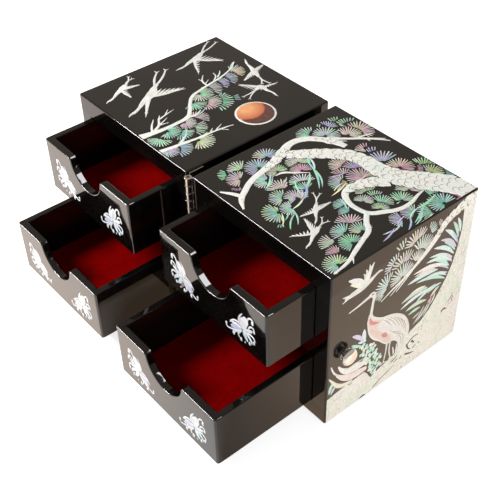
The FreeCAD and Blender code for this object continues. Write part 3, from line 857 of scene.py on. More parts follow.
rightLow, rightHigh = boxOf(["right_top_board", "right_bottom_board"])
leftLow, leftHigh = boxOf(["left_top_board", "left_bottom_board"])
rightNear, rightFar, leftNear, leftFar = rightLow / mm, rightHigh / mm, leftLow / mm, leftHigh / mm
wide, deep, high = rightFar - rightNear
panels = {
    "rightTop": (panelFrame((rightNear.x, rightNear.y, rightFar.z), (1, 0, 0), (0, 1, 0)), "right_cabinet", wide, deep),
    "leftTop": (panelFrame((leftNear.x, leftNear.y, leftFar.z), (1, 0, 0), (0, 1, 0)), "left_cabinet", wide, deep),
    "rightSide": (panelFrame((rightFar.x, rightNear.y, 0), (0, 1, 0), (0, 0, 1)), "right_cabinet", deep, high),
    "rightBack": (panelFrame((rightFar.x, rightFar.y, 0), (-1, 0, 0), (0, 0, 1), 0.1), "right_cabinet", wide, high),
    "leftBack": (panelFrame((leftFar.x, leftFar.y, 0), (-1, 0, 0), (0, 0, 1), 0.1), "left_cabinet", wide, high),
    "leftSide": (panelFrame((leftNear.x, leftFar.y, 0), (0, -1, 0), (0, 0, 1)), "left_cabinet", deep, high),
}
panelMargin = 0.8            # inlay stops this far from the panel's edges, in millimetres
inlayRise = 0.12             # how far shell stands out of the lacquer at most, in millimetres
inlayEdge = 0.3              # how far in from its edge shell is rounded, in millimetres


def paint(piece, colour):
    # one colour for the whole piece
    layer = piece.data.color_attributes.new("tint", "FLOAT_COLOR", "POINT")
    layer.data.foreach_set("color", list((*colour, 1.0)) * len(piece.data.vertices))
    return piece


def strokes(name, lines, sides=1, resolution=5, rises=1.0, colours=None):
    # tapering cut pieces: each line is a list of (across, up, width); smooth tubes pressed flat
    data = bpy.data.curves.new(name, "CURVE")
    data.dimensions = "3D"
    data.twist_mode = "Z_UP"
    data.bevel_depth = 0.5
    data.bevel_resolution = sides
    for line in lines:
        spline = data.splines.new("BEZIER")
        spline.bezier_points.add(len(line) - 1)
        spline.resolution_u = resolution
        for spot, (x, y, width) in zip(spline.bezier_points, line):
            spot.co = (x, y, 0)
            spot.radius = max(width, 0.05)
            spot.handle_left_type = spot.handle_right_type = "AUTO"
    shape = bpy.data.objects.new(name, data)
    bpy.context.scene.collection.objects.link(shape)
    pick(shape)
    bpy.ops.object.convert(target="MESH")
    shape = bpy.context.object
    # how many corners each line became, in the order drawn
    counts = [((len(line) - 1) * resolution + 1) * (2 * sides + 4) for line in lines]
    if not isinstance(rises, list):
        rises = [rises] * len(lines)
    corners = iter(shape.data.vertices)
    for count, rise in zip(counts, rises):
        for n in range(count):
            vertex = next(corners)
            vertex.co.z = inlayRise * rise * math.tanh(vertex.co.z / inlayEdge)
    if colours:
        layer = shape.data.color_attributes.new("tint", "FLOAT_COLOR", "POINT")
        layer.data.foreach_set("color", [value for count, drawn in zip(counts, colours)
                                         for colour in shades(drawn, count) for value in (*colour, 1.0)])
    bpy.ops.object.mode_set(mode="EDIT")
    bpy.ops.mesh.select_all(action="SELECT")
    bpy.ops.mesh.fill_holes(sides=0)
    bpy.ops.object.mode_set(mode="OBJECT")
    return shape


def shades(drawn, count):
    # a colour for each corner of one stroke: a single colour, or one that changes from foot to tip
    if not isinstance(drawn[0], (tuple, list)):
        return [drawn] * count
    first, last = drawn
    return [[a + (b - a) * n / (count - 1) for a, b in zip(first, last)] for n in range(count)]


def layOn(panel, piece, material, slot, *nodes, smooth=60, mirror=False):
    # the drawing is trimmed to its panel, then goes from the panel's millimetres to its place
    matrix, body, width, height = panels[panel]
    if mirror:
        piece.data.transform(Matrix(((-1, 0, 0, width), (0, 1, 0, 0), (0, 0, 1, 0), (0, 0, 0, 1))))
    pick(piece)
    bpy.ops.object.mode_set(mode="EDIT")
    for spot, away in (((panelMargin, 0), (-1, 0)), ((width - panelMargin, 0), (1, 0)),
                       ((0, panelMargin), (0, -1)), ((0, height - panelMargin), (0, 1))):
        bpy.ops.mesh.select_all(action="SELECT")
        bpy.ops.mesh.bisect(plane_co=(*spot, 0), plane_no=(*away, 0), use_fill=True, clear_outer=True)
    bpy.ops.object.mode_set(mode="OBJECT")
    piece.data.transform(matrix)
    tidyNormals(piece, 0.00001)
    return hand(piece, body, slot, material, *nodes, smooth=smooth, weighted=False)


def along(line, step):
    # evenly spaced spots on a stroke: place, heading and width, smooth between its points
    points = [Vector(point) for point in line]
    ends = [points[0]] + points + [points[-1]]
    walked, wanted = 0.0, step / 2
    previous = points[0]
    for a, b, c, d in zip(ends, ends[1:], ends[2:], ends[3:]):
        for n in range(1, 25):
            t = n / 24
            spot = 0.5 * (2 * b + (c - a) * t + (2 * a - 5 * b + 4 * c - d) * t ** 2 + (3 * b - a - 3 * c + d) * t ** 3)
            gap = (spot.xy - previous.xy).length
            walked += gap
            if gap > 0 and walked >= wanted:
                wanted += step
                yield spot.xy, (spot.xy - previous.xy).normalized(), spot.z
            previous = spot


barkLook = {
    "plate": 5.6,                # length of a plate, in millimetres as all sizes of the drawings
    "plateWidth": 2.3,
    "notch": 0.7,
    "line": 0.30,
    "thin": 5.0,                 # thinner branches are plain
    "step": 0.004,               # how much higher each stroke lies, so that crossing pieces never share a face
    "cutRise": 2.6,              # how far the dark cuts stand out, against 1 for the wood
    "seamLift": 0.12,
}


def barkPlates(line):
    # scalloped plates along both edges of a thick branch
    rows = []
    for spot, heading, width in along(line, barkLook["plate"]):
        if width < barkLook["thin"]:
            continue
        side = Vector((-heading.y, heading.x))
        for way in (-1, 1):
            jitter = rng.random() - 0.5
            middle = spot + side * way * (width / 2 - 0.75 + 0.25 * jitter) + heading * (way * 1.0 + 0.9 * jitter)
            long = heading * barkLook["plate"] * (0.42 + 0.05 * jitter)
            rows.append([(*(middle - long), 1.2), (*middle, barkLook["plateWidth"]), (*(middle + long), 1.2)])
    return rows


def barkNotches(line):
    # short cuts that run in from the edges between the plates
    rows = []
    for spot, heading, width in along(line, barkLook["plate"]):
        if width < barkLook["thin"]:
            continue
        side = Vector((-heading.y, heading.x))
        for way in (-1, 1):
            if rng.random() < 0.35:
                continue
            start = spot + side * way * (width / 2 + 0.3) + heading * (way + 2.6 + 0.8 * rng.random())
            end = start + heading * (1.4 + rng.random()) - side * way * (1.2 + 0.8 * rng.random())
            rows.append([(*start, barkLook["notch"]), (*start.lerp(end, 0.6), 0.45), (*end, 0.1)])
    return rows


def barkLines(line):
    # the seams between the plates: crescents across the branch, staggered row by row
    rows, thick = [], barkLook["line"]
    for n, (spot, heading, width) in enumerate(along(line, barkLook["plate"] * 0.62)):
        if width < barkLook["thin"] * 0.9:
            continue
        side = Vector((-heading.y, heading.x))
        across = 3 if width > 10 else 2
        pitch = width * 0.92 / across
        for k in range(across):
            if rng.random() < 0.2:
                continue
            off = (k - (across - 1) / 2 + (0.25 if n % 2 else -0.25) + 0.3 * (rng.random() - 0.5)) * pitch
            middle = spot + side * off + heading * 1.8 * (rng.random() - 0.5)
            half = pitch * (0.32 + 0.2 * rng.random())
            bow = heading * (0.8 + 1.6 * rng.random()) + side * (rng.random() - 0.5)
            rows.append([(*(middle - side * half), thick), (*(middle - side * half * 0.6 + bow * 0.75), thick),
                         (*(middle + bow), thick * 1.2), (*(middle + side * half * 0.6 + bow * 0.75), thick),
                         (*(middle + side * half), 0.12)])
    return rows


def makeTrunk(panel, lines, bark, marked, *nodes, mirror=False):
    # the branches, and on the first ones, that are marked, plates along their edges and dark cuts let into them
    name = panel + "Pine"
    wood = lines + [row for line in lines[:marked] for row in barkPlates(line)]
    trunk = strokes(name, wood, 3, 8, [1.0 + barkLook["step"] * n for n in range(len(wood))])
    layOn(panel, trunk, bark, "shell_white", *nodes, mirror=mirror)
    cuts = [row for line in lines[:marked] for row in barkNotches(line)]
    seams = [("seam", row) for line in lines[:marked] for row in barkLines(line)]
    if cuts:
        layOn(panel, strokes(name + "Cuts", cuts, 1, 4, barkLook["cutRise"]), lacquer, "lacquer", mirror=mirror)
        drawn = tintedStrokes(name + "Seams", seams, 1, 3)
        drawn.data.transform(Matrix.Translation((0, 0, barkLook["seamLift"])))
        layOn(panel, drawn, shellTinted, "shell_white", mirror=mirror)


tints = {
    "green": (0.15, 0.78, 0.40), "teal": (0.05, 0.62, 0.50), "sea": (0.22, 0.80, 0.62), "blue": (0.20, 0.44, 0.86),
    "violet": (0.40, 0.32, 0.80), "lilac": (0.62, 0.54, 0.90), "pink": (0.86, 0.42, 0.62),
    "magenta": (0.72, 0.15, 0.45), "peach": (0.92, 0.68, 0.46), "lime": (0.60, 0.82, 0.24),
    "olive": (0.46, 0.54, 0.18), "cream": (0.92, 0.90, 0.72), "grey": (0.56, 0.62, 0.60), "sage": (0.46, 0.74, 0.50),
    "ice": (0.60, 0.88, 0.92), "gold": (0.90, 0.74, 0.26), "white": (0.88, 0.87, 0.82), "rose": (0.62, 0.22, 0.22),
    "blush": (0.90, 0.66, 0.62), "red": (0.80, 0.07, 0.04), "mint": (0.80, 0.92, 0.80),
    "blushPale": (0.93, 0.78, 0.74), "blushSoft": (0.90, 0.66, 0.60), "icePale": (0.74, 0.86, 0.92),
    "stone": (0.52, 0.52, 0.44), "mintDeep": (0.62, 0.78, 0.62), "sandPale": (0.84, 0.74, 0.58),
    "rib": (0.34, 0.31, 0.24), "seam": (0.27, 0.22, 0.15), "pearl": (0.90, 0.89, 0.92),
    "lilacPale": (0.62, 0.64, 0.86),
}


fanLook = {
    "wide": (19, 220),           # needles and how many degrees they spread
    "half": (16, 180),
    "slim": (11, 112),
    "needleWidth": 0.85,         # at the widest, in millimetres
    "strays": ["cream", "pink", "sea", "lilac", "lime", "white"],
    "grow": 1.16,                # how much larger than drawn
    "rim": 0.35,                 # bare lacquer round the fan in front, in millimetres
    "heart": 0.12,               # where needles start, as a share of the radius
    "shortest": 0.3,             # shorter stretches are left out, as a share of the radius
    "shade": 0.62,               # how light the hearts are
    "glow": 1.1,                 # how light the tips are
    "tipWhite": 0.42,
}


def hiddenBy(front, spot):
    # whether a spot lies under the dome of a fan in front
    x, y, radius, direction, key = front[:5]
    away = Vector(spot) - Vector((x, y))
    if away.length > radius + fanLook["rim"]:
        return False
    turn = (math.degrees(math.atan2(away.y, away.x)) - direction + 180) % 360 - 180
    return abs(turn) < fanLook[key][1] / 2 + 6 or away.length < fanLook["heart"] * radius


def needlesOf(fan, fronts):
    # the visible stretch of every needle: what the fans in front leave of it
    x, y, radius, direction, key = fan[:5]
    count, spread = fanLook[key]
    centre, bare = Vector((x, y)), radius * fanLook["heart"]
    for n in range(count):
        share = n / (count - 1)
        turn = math.radians(direction + spread * (share - 0.5) + 2.5 * (rng.random() - 0.5))
        away = Vector((math.cos(turn), math.sin(turn)))
        reach = radius * (1.0 - 0.16 * abs(2 * share - 1) ** 2 + 0.06 * (rng.random() - 0.5))
        start, best = None, (0, 0)
        for step in range(41):
            r = bare + (reach - bare) * step / 40
            if any(hiddenBy(front, centre + away * r) for front in fronts):
                start = None
            else:
                start = r if start is None else start
                if r - start > best[1] - best[0]:
                    best = (start, r)
        if best[1] - best[0] < fanLook["shortest"] * radius:
            continue
        first, last = best
        spots = []
        for part in (0, 0.3, 0.6, 0.85, 1):
            r = first + (last - first) * part
            pitch = math.radians(spread) / (count - 1) * r
            fill = max(0.38, 1.1 - 1.3 * max(0.0, r / radius - 0.28))
            width = min(pitch * fill, fanLook["needleWidth"]) * (0.45 if part == 1 else 1)
            spots.append((centre.x + away.x * r, centre.y + away.y * r, width))
        yield share, spots


def mixed(a, b, share, lift=1.0):
    # a colour between two, made lighter or darker
    return [min(1.0, (x + (y - x) * share) * lift) for x, y in zip(a, b)]


def fans(name, rows):
    # rows: across, up, radius, direction in degrees, kind, tint at the heart, tint at the tips
    lines, colours = [], []
    rows = [(x, y, radius * fanLook["grow"], *rest) for x, y, radius, *rest in rows]
    for fan in rows:
        x, y, radius, direction, key, heart, tips = fan
        aim = Vector((math.cos(math.radians(direction)), math.sin(math.radians(direction))))
        fronts = []
        for other in rows:
            gap = Vector((other[0] - x, other[1] - y))
            if other is fan or gap.length > radius + other[2] + 1:
                continue
            otherAim = Vector((math.cos(math.radians(other[3])), math.sin(math.radians(other[3]))))
            if gap.dot(aim + otherAim) < 0:
                fronts.append(other)
        drift = rng.random()
        for share, line in needlesOf(fan, fronts):
            side = 0.5 + 0.5 * math.sin(math.tau * (0.7 * share + drift))
            lift = 0.8 + 0.35 * rng.random()
            stray = tints[fanLook["strays"][rng.randrange(6)]]
            lines.append(line)
            inward = mixed(mixed(tints[heart], tints[tips], 0.6 * side), stray, 0.15, fanLook["shade"] * lift)
            outward = mixed(mixed(tints[heart], tints[tips], 0.5 + 0.5 * side), stray, 0.4)
            colours.append((inward, mixed(outward, tints["white"], fanLook["tipWhite"], fanLook["glow"] * lift)))
    return strokes(name, lines, 0, 1, [0.9 + 0.02 * (n % 9) for n in range(len(lines))], colours)


def tintedStrokes(name, rows, sides=1, resolution=3, pale=0.0):
    # rows: tint, then the stroke's points; neighbouring strokes get slightly different heights
    colours = [mixed(tints[tint], tints["white"], pale, 0.9 + 0.2 * rng.random()) for tint, line in rows]
    rises = [0.9 + 0.03 * (n % 7) for n in range(len(rows))]
    return strokes(name, [line for tint, line in rows], sides, resolution, rises, colours)


def leaf(x0, y0, x1, y1, width, bow=0.0):
    # a lance-shaped leaf from its foot to its tip, bowed sideways
    reach = Vector((x1 - x0, y1 - y0))
    side = Vector((-reach.y, reach.x)).normalized() * bow
    spots = []
    for share, part in ((0, 0.3), (0.3, 0.9), (0.6, 1.0), (0.85, 0.6), (1, 0.06)):
        spot = Vector((x0, y0)) + reach * share + side * math.sin(math.pi * share)
        spots.append((spot.x, spot.y, width * part))
    return spots


# widths of a crane whose head is about 21 millimetres from its body
craneLook = {
    "tail": 0.7, "rump": 3.2, "body": 4.8, "neck": 2.8, "throat": 1.5, "head": 1.7, "bill": 1.2, "spur": 1.6,
    "thigh": 1.2, "shin": 1.15, "foot": 0.8, "shoulder": 2.6, "wrist": 1.7, "wingEnd": 0.9,
    "feather": 1.5, "quill": 1.15,
}
craneFeathers = 7                # on each wing


def craneStrokes(crane):
    # flying crane: head, neck and body, two wings of feathers, trailing legs with toes
    body, head = Vector(crane["body"]), Vector(crane["head"])
    feet = [Vector(foot) for foot in crane["feet"]]
    tail = body + ((feet[0] + feet[1]) / 2 - body) * 0.42
    size = (head - body).length / 24 + 0.12
    wide = {part: width * size for part, width in craneLook.items()}
    ahead, backwards = (head - body).normalized(), (tail - body).normalized()
    side = Vector((-ahead.y, ahead.x))
    rows = [
        ("white", [(*tail, wide["tail"]), (*tail.lerp(body, 0.45), wide["rump"]), (*body, wide["body"]),
                   (*body.lerp(head, 0.36), wide["neck"]),
                   (*(body.lerp(head, 0.62) + side * 0.7 * size), wide["throat"]),
                   (*(body.lerp(head, 0.80) + side * 0.5 * size), wide["head"]),
                   (*body.lerp(head, 0.88), wide["bill"]), (*head, 0.3)]),
        ("white", [(*body.lerp(tail, 0.5), wide["spur"]), (*(tail + side * 1.4 * size), 0.3)]),
    ]
    for way, foot in zip((1, -1), feet):
        knee = tail.lerp(foot, 0.45) + side * way * 0.9 * size
        leg = (foot - knee).normalized()
        rows.append(("white", [(*body.lerp(tail, 0.7), wide["thigh"]), (*knee, wide["shin"]), (*foot, wide["foot"])]))
        for turn in (0.9, -0.5):
            toe = Vector((leg.x * math.cos(turn) - leg.y * math.sin(turn),
                          leg.x * math.sin(turn) + leg.y * math.cos(turn)))
            rows.append(("white", [(*foot, wide["foot"]), (*(foot + toe * 1.9 * size), 0.25)]))
    for wing in crane["wings"]:
        tip = Vector(wing)
        reach, out = (tip - body).length, (tip - body).normalized()
        shoulder = body.lerp(head, 0.12)
        wrist = shoulder.lerp(tip, 0.42) - backwards * 0.04 * reach
        rows.append(("white", [(*shoulder, wide["shoulder"]), (*wrist, wide["wrist"]),
                               (*shoulder.lerp(tip, 0.78), wide["wingEnd"]), (*tip, 0.3)]))
        for n in range(craneFeathers):
            share = n / (craneFeathers - 1)
            root = shoulder.lerp(tip, 0.02 + 0.74 * share)
            end = root + out * reach * (0.13 + 0.07 * share) + backwards * reach * (0.38 - 0.27 * share)
            feather = [(*root, wide["feather"]), (*root.lerp(end, 0.5), wide["quill"]), (*end, 0.2)]
            rows.append(("white" if n % 3 else "cream", feather))
    return rows


# right top: the old pine with its needles, and two cranes

rightTopPine = [
    [(102, 95.5, 12), (90, 91.5, 14.5), (80, 84.5, 14.5), (70, 77.5, 13), (59, 74.2, 10.5), (48, 74, 9.2),
     (39, 71.5, 9), (31, 64.5, 8.5), (24, 56.5, 7.5), (17.5, 48, 6)],
    [(32.5, 76, 3.4), (26, 74.5, 5), (19, 70.5, 4.6), (12.8, 63.5, 4.4), (11.5, 55.5, 4.2), (14.5, 48, 5.4),
     (18, 39, 5.2), (20.3, 29, 3.6), (22.6, 20, 3.2), (27, 12, 3.2), (31, 6.5, 3), (37.6, 2.4, 1)],
    [(29.8, 8.6, 2.6), (25, 6.2, 2.4), (19.4, 2.4, 1)],
    [(68, 71, 9), (62.5, 63, 7.4), (60, 55.5, 5.6), (60.3, 48.5, 3.8), (66, 44.2, 3), (73, 43.4, 2.8),
     (79.4, 45.4, 2.8), (83.2, 51, 3), (86.8, 58.5, 2.6), (87, 66.5, 2.2), (85.2, 73, 1.6), (84.4, 78, 0.8)],
    [(78.6, 44.4, 2.6), (83.5, 39.3, 2.8), (88, 36, 2.8), (91.2, 29, 2.4), (94.2, 21.5, 2.4), (97.6, 13, 1.8),
     (99.2, 3, 1)],
    [(20.5, 73.5, 2.2), (28, 81.5, 1.8), (34, 88.5, 1.8), (39, 93.2, 1.5), (44.3, 97, 0.6)],
    [(35, 89.5, 1.3), (38, 93, 1.1), (41.2, 96.6, 0.4)],
    [(31, 85.8, 1.2), (31.8, 90, 1.1), (33.4, 95, 0.4)],
    [(23, 72.6, 1.6), (26, 75.8, 1.4), (29.4, 79.6, 0.4)],
    [(34, 88.8, 1.0), (37.4, 89, 0.4)],
    [(95, 18.6, 1.0), (97.4, 16.6, 0.9), (100, 14.4, 0.3)],
    [(27.4, 31.6, 0.6), (28, 36, 1.7), (32, 40.6, 1.3), (37, 46.4, 0.4)],
]
rightTopCranes = [
    {"body": (60.2, 28.6), "head": (68.5, 20.4), "wings": [(61.4, 37.6), (59.7, 18.6)],
     "feet": [(50.6, 35.9), (53.2, 38)]},
    {"body": (72.3, 17.2), "head": (78.4, 5.4), "wings": [(61.8, 19.2), (67.2, 5.2)],
     "feet": [(67.2, 26), (70.9, 26.2)]},
]
rightTopFans = [
    (26.5, 90.5, 8.5, 95, "half", "peach", "pink"), (20.5, 90, 7.5, 125, "half", "grey", "sea"),
    (15.5, 86.5, 7.2, 150, "wide", "green", "sea"), (26, 84, 7, 115, "half", "peach", "cream"),
    (14, 80.4, 6, 160, "half", "blue", "lilac"), (18.6, 74.6, 7.4, 110, "wide", "sage", "ice"),
    (12.6, 74, 6.4, 165, "half", "sage", "cream"), (13.4, 69.4, 7.4, 195, "half", "teal", "sage"),
    (43.5, 80.5, 7, 120, "half", "pink", "peach"), (48.8, 80.2, 8, 110, "slim", "blue", "violet"),
    (55, 80, 9, 98, "half", "lilac", "blue"), (64, 83, 7.4, 120, "half", "magenta", "peach"),
    (69, 86.5, 5.4, 115, "wide", "magenta", "pink"), (71.5, 92.4, 7.6, 115, "wide", "green", "lime"),
    (77, 91, 6.6, 95, "half", "lime", "olive"), (81, 93.6, 6.4, 75, "half", "teal", "blue"),
    (98.5, 84, 6.4, 110, "half", "magenta", "pink"), (98, 77.6, 7.4, 195, "wide", "teal", "sea"),
    (98.4, 69, 7, 200, "half", "green", "teal"), (93.4, 61.4, 6, 200, "half", "green", "violet"),
    (93, 53.5, 5.6, 200, "wide", "violet", "lilac"), (90.6, 77, 6.6, 110, "slim", "green", "teal"),
    (79.8, 72.6, 6.4, 150, "wide", "grey", "pink"), (83, 64, 6.4, 160, "wide", "green", "sage"),
    (68.4, 55.6, 6, 140, "wide", "sage", "lime"), (73.2, 55.4, 5.6, 130, "half", "cream", "green"),
    (78, 55, 6, 120, "half", "sea", "sage"), (71.4, 49.4, 5, 120, "half", "grey", "white"),
    (80.6, 51.6, 4.4, 130, "half", "lime", "sea"),
    (44, 62.6, 7, 165, "half", "pink", "peach"), (50, 66, 6.4, 170, "half", "violet", "magenta"),
    (50.6, 57, 6.4, 190, "wide", "magenta", "pink"), (57.6, 63, 7.4, 185, "wide", "olive", "magenta"),
    (54, 52.6, 6.4, 215, "half", "grey", "blue"), (57.4, 56, 5, 240, "slim", "lime", "gold"),
    (27, 47.6, 6.4, 160, "wide", "sage", "cream"), (33, 44.4, 5.4, 170, "wide", "magenta", "pink"),
    (25.6, 34.6, 5.6, 180, "wide", "sage", "olive"), (27.6, 25.6, 6.4, 230, "half", "sea", "ice"),
    (12.6, 38.6, 7, 165, "wide", "blue", "peach"), (17, 29.6, 7, 180, "wide", "teal", "violet"),
    (12.4, 22, 7, 165, "half", "cream", "sage"), (12.6, 15.6, 6.4, 200, "half", "green", "sea"),
    (18, 16.6, 6.4, 220, "half", "pink", "grey"), (21.4, 12.6, 4, 250, "half", "magenta", "pink"),
    (41, 38, 6.6, 165, "wide", "ice", "white"), (46, 35.6, 6, 200, "half", "teal", "sea"),
    (38.4, 27, 7.4, 195, "wide", "pink", "cream"), (43.6, 22.4, 6.4, 220, "half", "green", "sage"),
    (48, 27.4, 6, 170, "wide", "lilac", "grey"), (52, 20.6, 5.4, 250, "half", "sea", "ice"),
    (50.6, 13.4, 7.4, 225, "wide", "teal", "lime"), (55, 11.6, 6, 290, "slim", "green", "sea"),
    (67.4, 40.6, 5, 200, "half", "teal", "sea"), (72.6, 38.6, 4.6, 230, "half", "teal", "blue"),
    (79.4, 33, 6.8, 180, "wide", "grey", "pink"), (86.6, 33.4, 6, 170, "half", "teal", "peach"),
    (82.4, 26.4, 6.4, 190, "wide", "sea", "violet"), (84.6, 17.6, 6.8, 210, "wide", "sage", "pink"),
    (89.6, 24, 6, 190, "wide", "teal", "green"), (90.6, 14.4, 5.4, 230, "half", "magenta", "pink"),
    (96, 8.6, 6.4, 200, "wide", "sea", "lime"),
]
rightTopLeaves = [
    ("sea", leaf(24, 58, 34, 50, 1.8, -1)), ("ice", leaf(27, 55, 37, 49.6, 1.6, 0.8)),
    ("teal", leaf(30, 52, 50, 40.6, 1.7, 1.4)), ("sea", leaf(35, 50, 50, 42.6, 1.4, 1.6)),
    ("green", leaf(37, 46, 45, 36, 1.8, 1)), ("blue", leaf(43, 38, 51, 29.6, 1.9, 0.8)),
    ("sea", leaf(37, 36, 48, 31, 1.4, -0.8)), ("cream", leaf(50, 30, 53, 20, 1.5, 0.8)),
    ("sea", leaf(53, 20, 63.6, 14, 1.2, 1)), ("teal", leaf(53, 17, 57, 11.6, 1.0, 0.6)),
    ("green", leaf(56, 19, 64, 9, 1.2, -1)), ("lime", leaf(52, 14, 59.4, 8, 1.2, 0.6)),
    ("green", leaf(90.4, 80, 92, 64, 2.2, 1)), ("teal", leaf(91.6, 70, 98.6, 56, 1.8, 0.8)),
    ("sea", leaf(92, 66, 95, 56.6, 1.5, -0.8)), ("green", leaf(94.4, 66, 100, 55, 1.4, 1)),
    ("blue", leaf(94, 58, 100.4, 49.6, 1.3, 0.8)), ("violet", leaf(92, 56, 95.4, 48, 1.4, -0.8)),
    ("lilac", leaf(94, 52, 96.4, 42, 1.4, 0.8)), ("violet", leaf(95, 46, 98.2, 35, 1.3, 0.6)),
    ("ice", leaf(95.4, 44, 94.6, 38.6, 1.0, 0.3)), ("lime", leaf(99.6, 68, 100.2, 58, 1.1, 0.4)),
    ("gold", leaf(55, 54, 58, 41, 1.4, 0.6)), ("lime", leaf(54, 52, 56, 44.6, 1.3, -0.4)),
    ("magenta", leaf(57, 68, 57.4, 57, 1.8, 0.4)), ("violet", leaf(49, 60, 46, 50, 1.2, 0.4)),
    ("sea", leaf(62, 42.6, 70, 39.6, 1.4, 0.6)), ("sea", leaf(24, 31, 33, 19.6, 1.4, 1.2)),
    ("teal", leaf(27, 30, 32, 22, 1.1, 1)), ("ice", leaf(32, 35, 35, 30, 1.0, 0.4)),
    ("lilac", leaf(44, 34, 50, 28, 1.2, 0.8)),
]


leafLook = {"width": 0.72, "pale": 0.38}         # share of the drawn width, and of white in the tints


def makePine(panel, art, bark, marked, nodes=(), mirror=False):
    # a whole pine panel: trunk, needles, sprigs and cranes
    pine, fanRows, leafRows, cranes = art
    makeTrunk(panel, pine, bark, marked, *nodes[:1], mirror=mirror)
    layOn(panel, fans(panel + "Needles", fanRows), abalone, "shell_abalone", mirror=mirror)
    leafRows = [(tint, [(x, y, leafLook["width"] * w) for x, y, w in line]) for tint, line in leafRows]
    sprigs = tintedStrokes(panel + "Leaves", leafRows, pale=leafLook["pale"])
    layOn(panel, sprigs, abalone, "shell_abalone", mirror=mirror)
    rows = [row for crane in cranes for row in craneStrokes(crane)]
    layOn(panel, tintedStrokes(panel + "Cranes", rows, 2, 5), shellTinted, "shell_white", *nodes[1:], mirror=mirror)


rightTopArt = (rightTopPine, rightTopFans, rightTopLeaves, rightTopCranes)
makePine("rightTop", rightTopArt, shellBark, 4, ("right_top_pine", "right_top_cranes"))
print("right top inlaid")


# left top: young pine, five cranes and the sun

leftTopPine = [
    [(60.3, 0.5, 5), (61.4, 7, 3.6), (62.4, 15, 2.7), (62.4, 23, 2.4), (61.4, 31, 2.6), (56.8, 36.2, 2.2),
     (50.8, 41, 2), (46, 46.4, 2), (44, 53, 1.8), (42.4, 61, 1.5), (41, 69, 1.3), (38.8, 77, 1.1), (35.6, 83.5, 1),
     (32, 88, 0.6)],
    [(78.1, 0.5, 3), (79.2, 8, 2.2), (80, 15, 2), (81.3, 23, 1.6), (81.8, 31, 1.3), (82.6, 38.5, 1.1),
     (84, 45.2, 0.5)],
    [(61.5, 30.5, 1.7), (62.6, 36, 1.5), (60.5, 41, 0.6)],
    [(61.2, 7.6, 1.4), (56, 11, 1.1), (51, 15.6, 0.5)],
    [(60.6, 9, 1.7), (57.5, 14.6, 1.5), (53, 17.8, 1.1), (50, 20.4, 0.4)],
    [(53, 17.8, 1.1), (51.4, 24, 0.9), (50.2, 30, 0.3)],
    [(51.6, 23, 0.8), (48, 27.6, 0.4)],
    [(57.6, 14.4, 1), (58.8, 20.4, 0.3)],
    [(57.2, 16, 1), (54.4, 22.4, 0.3)],
    [(42.6, 59.4, 1.2), (37, 60.4, 1), (32, 64.6, 0.4)],
    [(37.4, 60.4, 0.8), (34, 59.8, 0.4)],
    [(40.2, 60.2, 0.8), (38, 64, 0.3)],
    [(41.2, 65.6, 1), (37, 70, 0.8), (34, 70.6, 0.4)],
    [(39.4, 69.6, 1), (36.6, 73.4, 0.8), (34.4, 75.2, 0.4)],
    [(82, 37, 1), (86, 40.2, 0.3)],
    [(81.6, 35, 1), (79, 40.6, 0.3)],
    [(81.2, 31.6, 1), (79, 34.6, 0.3)],
    [(79.4, 13, 1.4), (75.4, 18, 0.6)],
]
leftTopCranes = [
    {"body": (28.6, 30.4), "head": (40, 6.8), "wings": [(37, 48.2), (46.3, 13.8)],
     "feet": [(12.8, 51.8), (11.4, 46.4)]},
    {"body": (13.4, 74.6), "head": (17.4, 56), "wings": [(27.2, 84.2), (29.3, 63.6)],
     "feet": [(6.4, 94.6), (2.8, 91)]},
    {"body": (12.4, 21.8), "head": (20, 5.4), "wings": [(16.2, 31), (24.4, 19.4)],
     "feet": [(4.6, 31), (7.6, 31.2)]},
    {"body": (49.8, 89.2), "head": (34, 94.6), "wings": [(46, 99), (52.4, 78.6)],
     "feet": [(64, 87.8), (61.6, 84.4)]},
    {"body": (63.6, 81.4), "head": (78.4, 82.2), "wings": [(67, 91.8), (53.4, 73.6)],
     "feet": [(65.8, 67.6), (69.6, 68.8)]},
]
leftTopFans = [
    (40.4, 79.6, 7, 70, "half", "gold", "peach"), (43, 78, 7, 35, "wide", "violet", "grey"),
    (42.6, 71, 8, 20, "half", "teal", "violet"), (43.4, 64, 8, 15, "half", "blue", "lilac"),
    (44.6, 57.6, 8, 20, "half", "violet", "grey"), (46.6, 50.6, 7.4, 20, "wide", "green", "pink"),
    (51.6, 42, 7.4, 40, "wide", "teal", "green"), (56, 48, 8, 55, "half", "pink", "sage"),
    (58.4, 52.6, 9.4, 20, "wide", "green", "teal"), (61, 58, 7.4, 65, "half", "blue", "sea"),
    (61.4, 46.6, 6, -10, "half", "sea", "lime"), (65.6, 32.6, 7.4, 70, "half", "sage", "pink"),
    (64.6, 26.6, 6, 20, "half", "grey", "pink"), (70.4, 25.6, 8.4, 40, "wide", "grey", "sage"),
    (70, 20, 7, -20, "half", "green", "teal"), (65.4, 14.6, 6.6, 40, "half", "teal", "sea"),
    (67.6, 7.6, 7, -10, "wide", "sea", "lime"), (83, 22, 8, 60, "wide", "lime", "cream"),
    (86.6, 21.6, 6.6, 10, "half", "sage", "cream"), (80.6, 9, 8, 10, "wide", "blue", "ice"),
    (79.6, 4, 6, 0, "half", "lilac", "ice"),
]
leftTopLeaves = [
    ("sea", leaf(38, 80, 31.6, 88.4, 1.4, 0.6)), ("teal", leaf(40, 79, 36, 88, 1.2, 0.4)),
    ("ice", leaf(70, 24, 78.6, 15, 1.1, 0.5)), ("teal", leaf(62, 13, 66, 20, 1.2, 0.5)),
    ("sea", leaf(60.6, 44, 64, 36, 1.1, 0.5)), ("lilac", leaf(80.6, 24, 82, 30, 1.2, 0.3)),
]


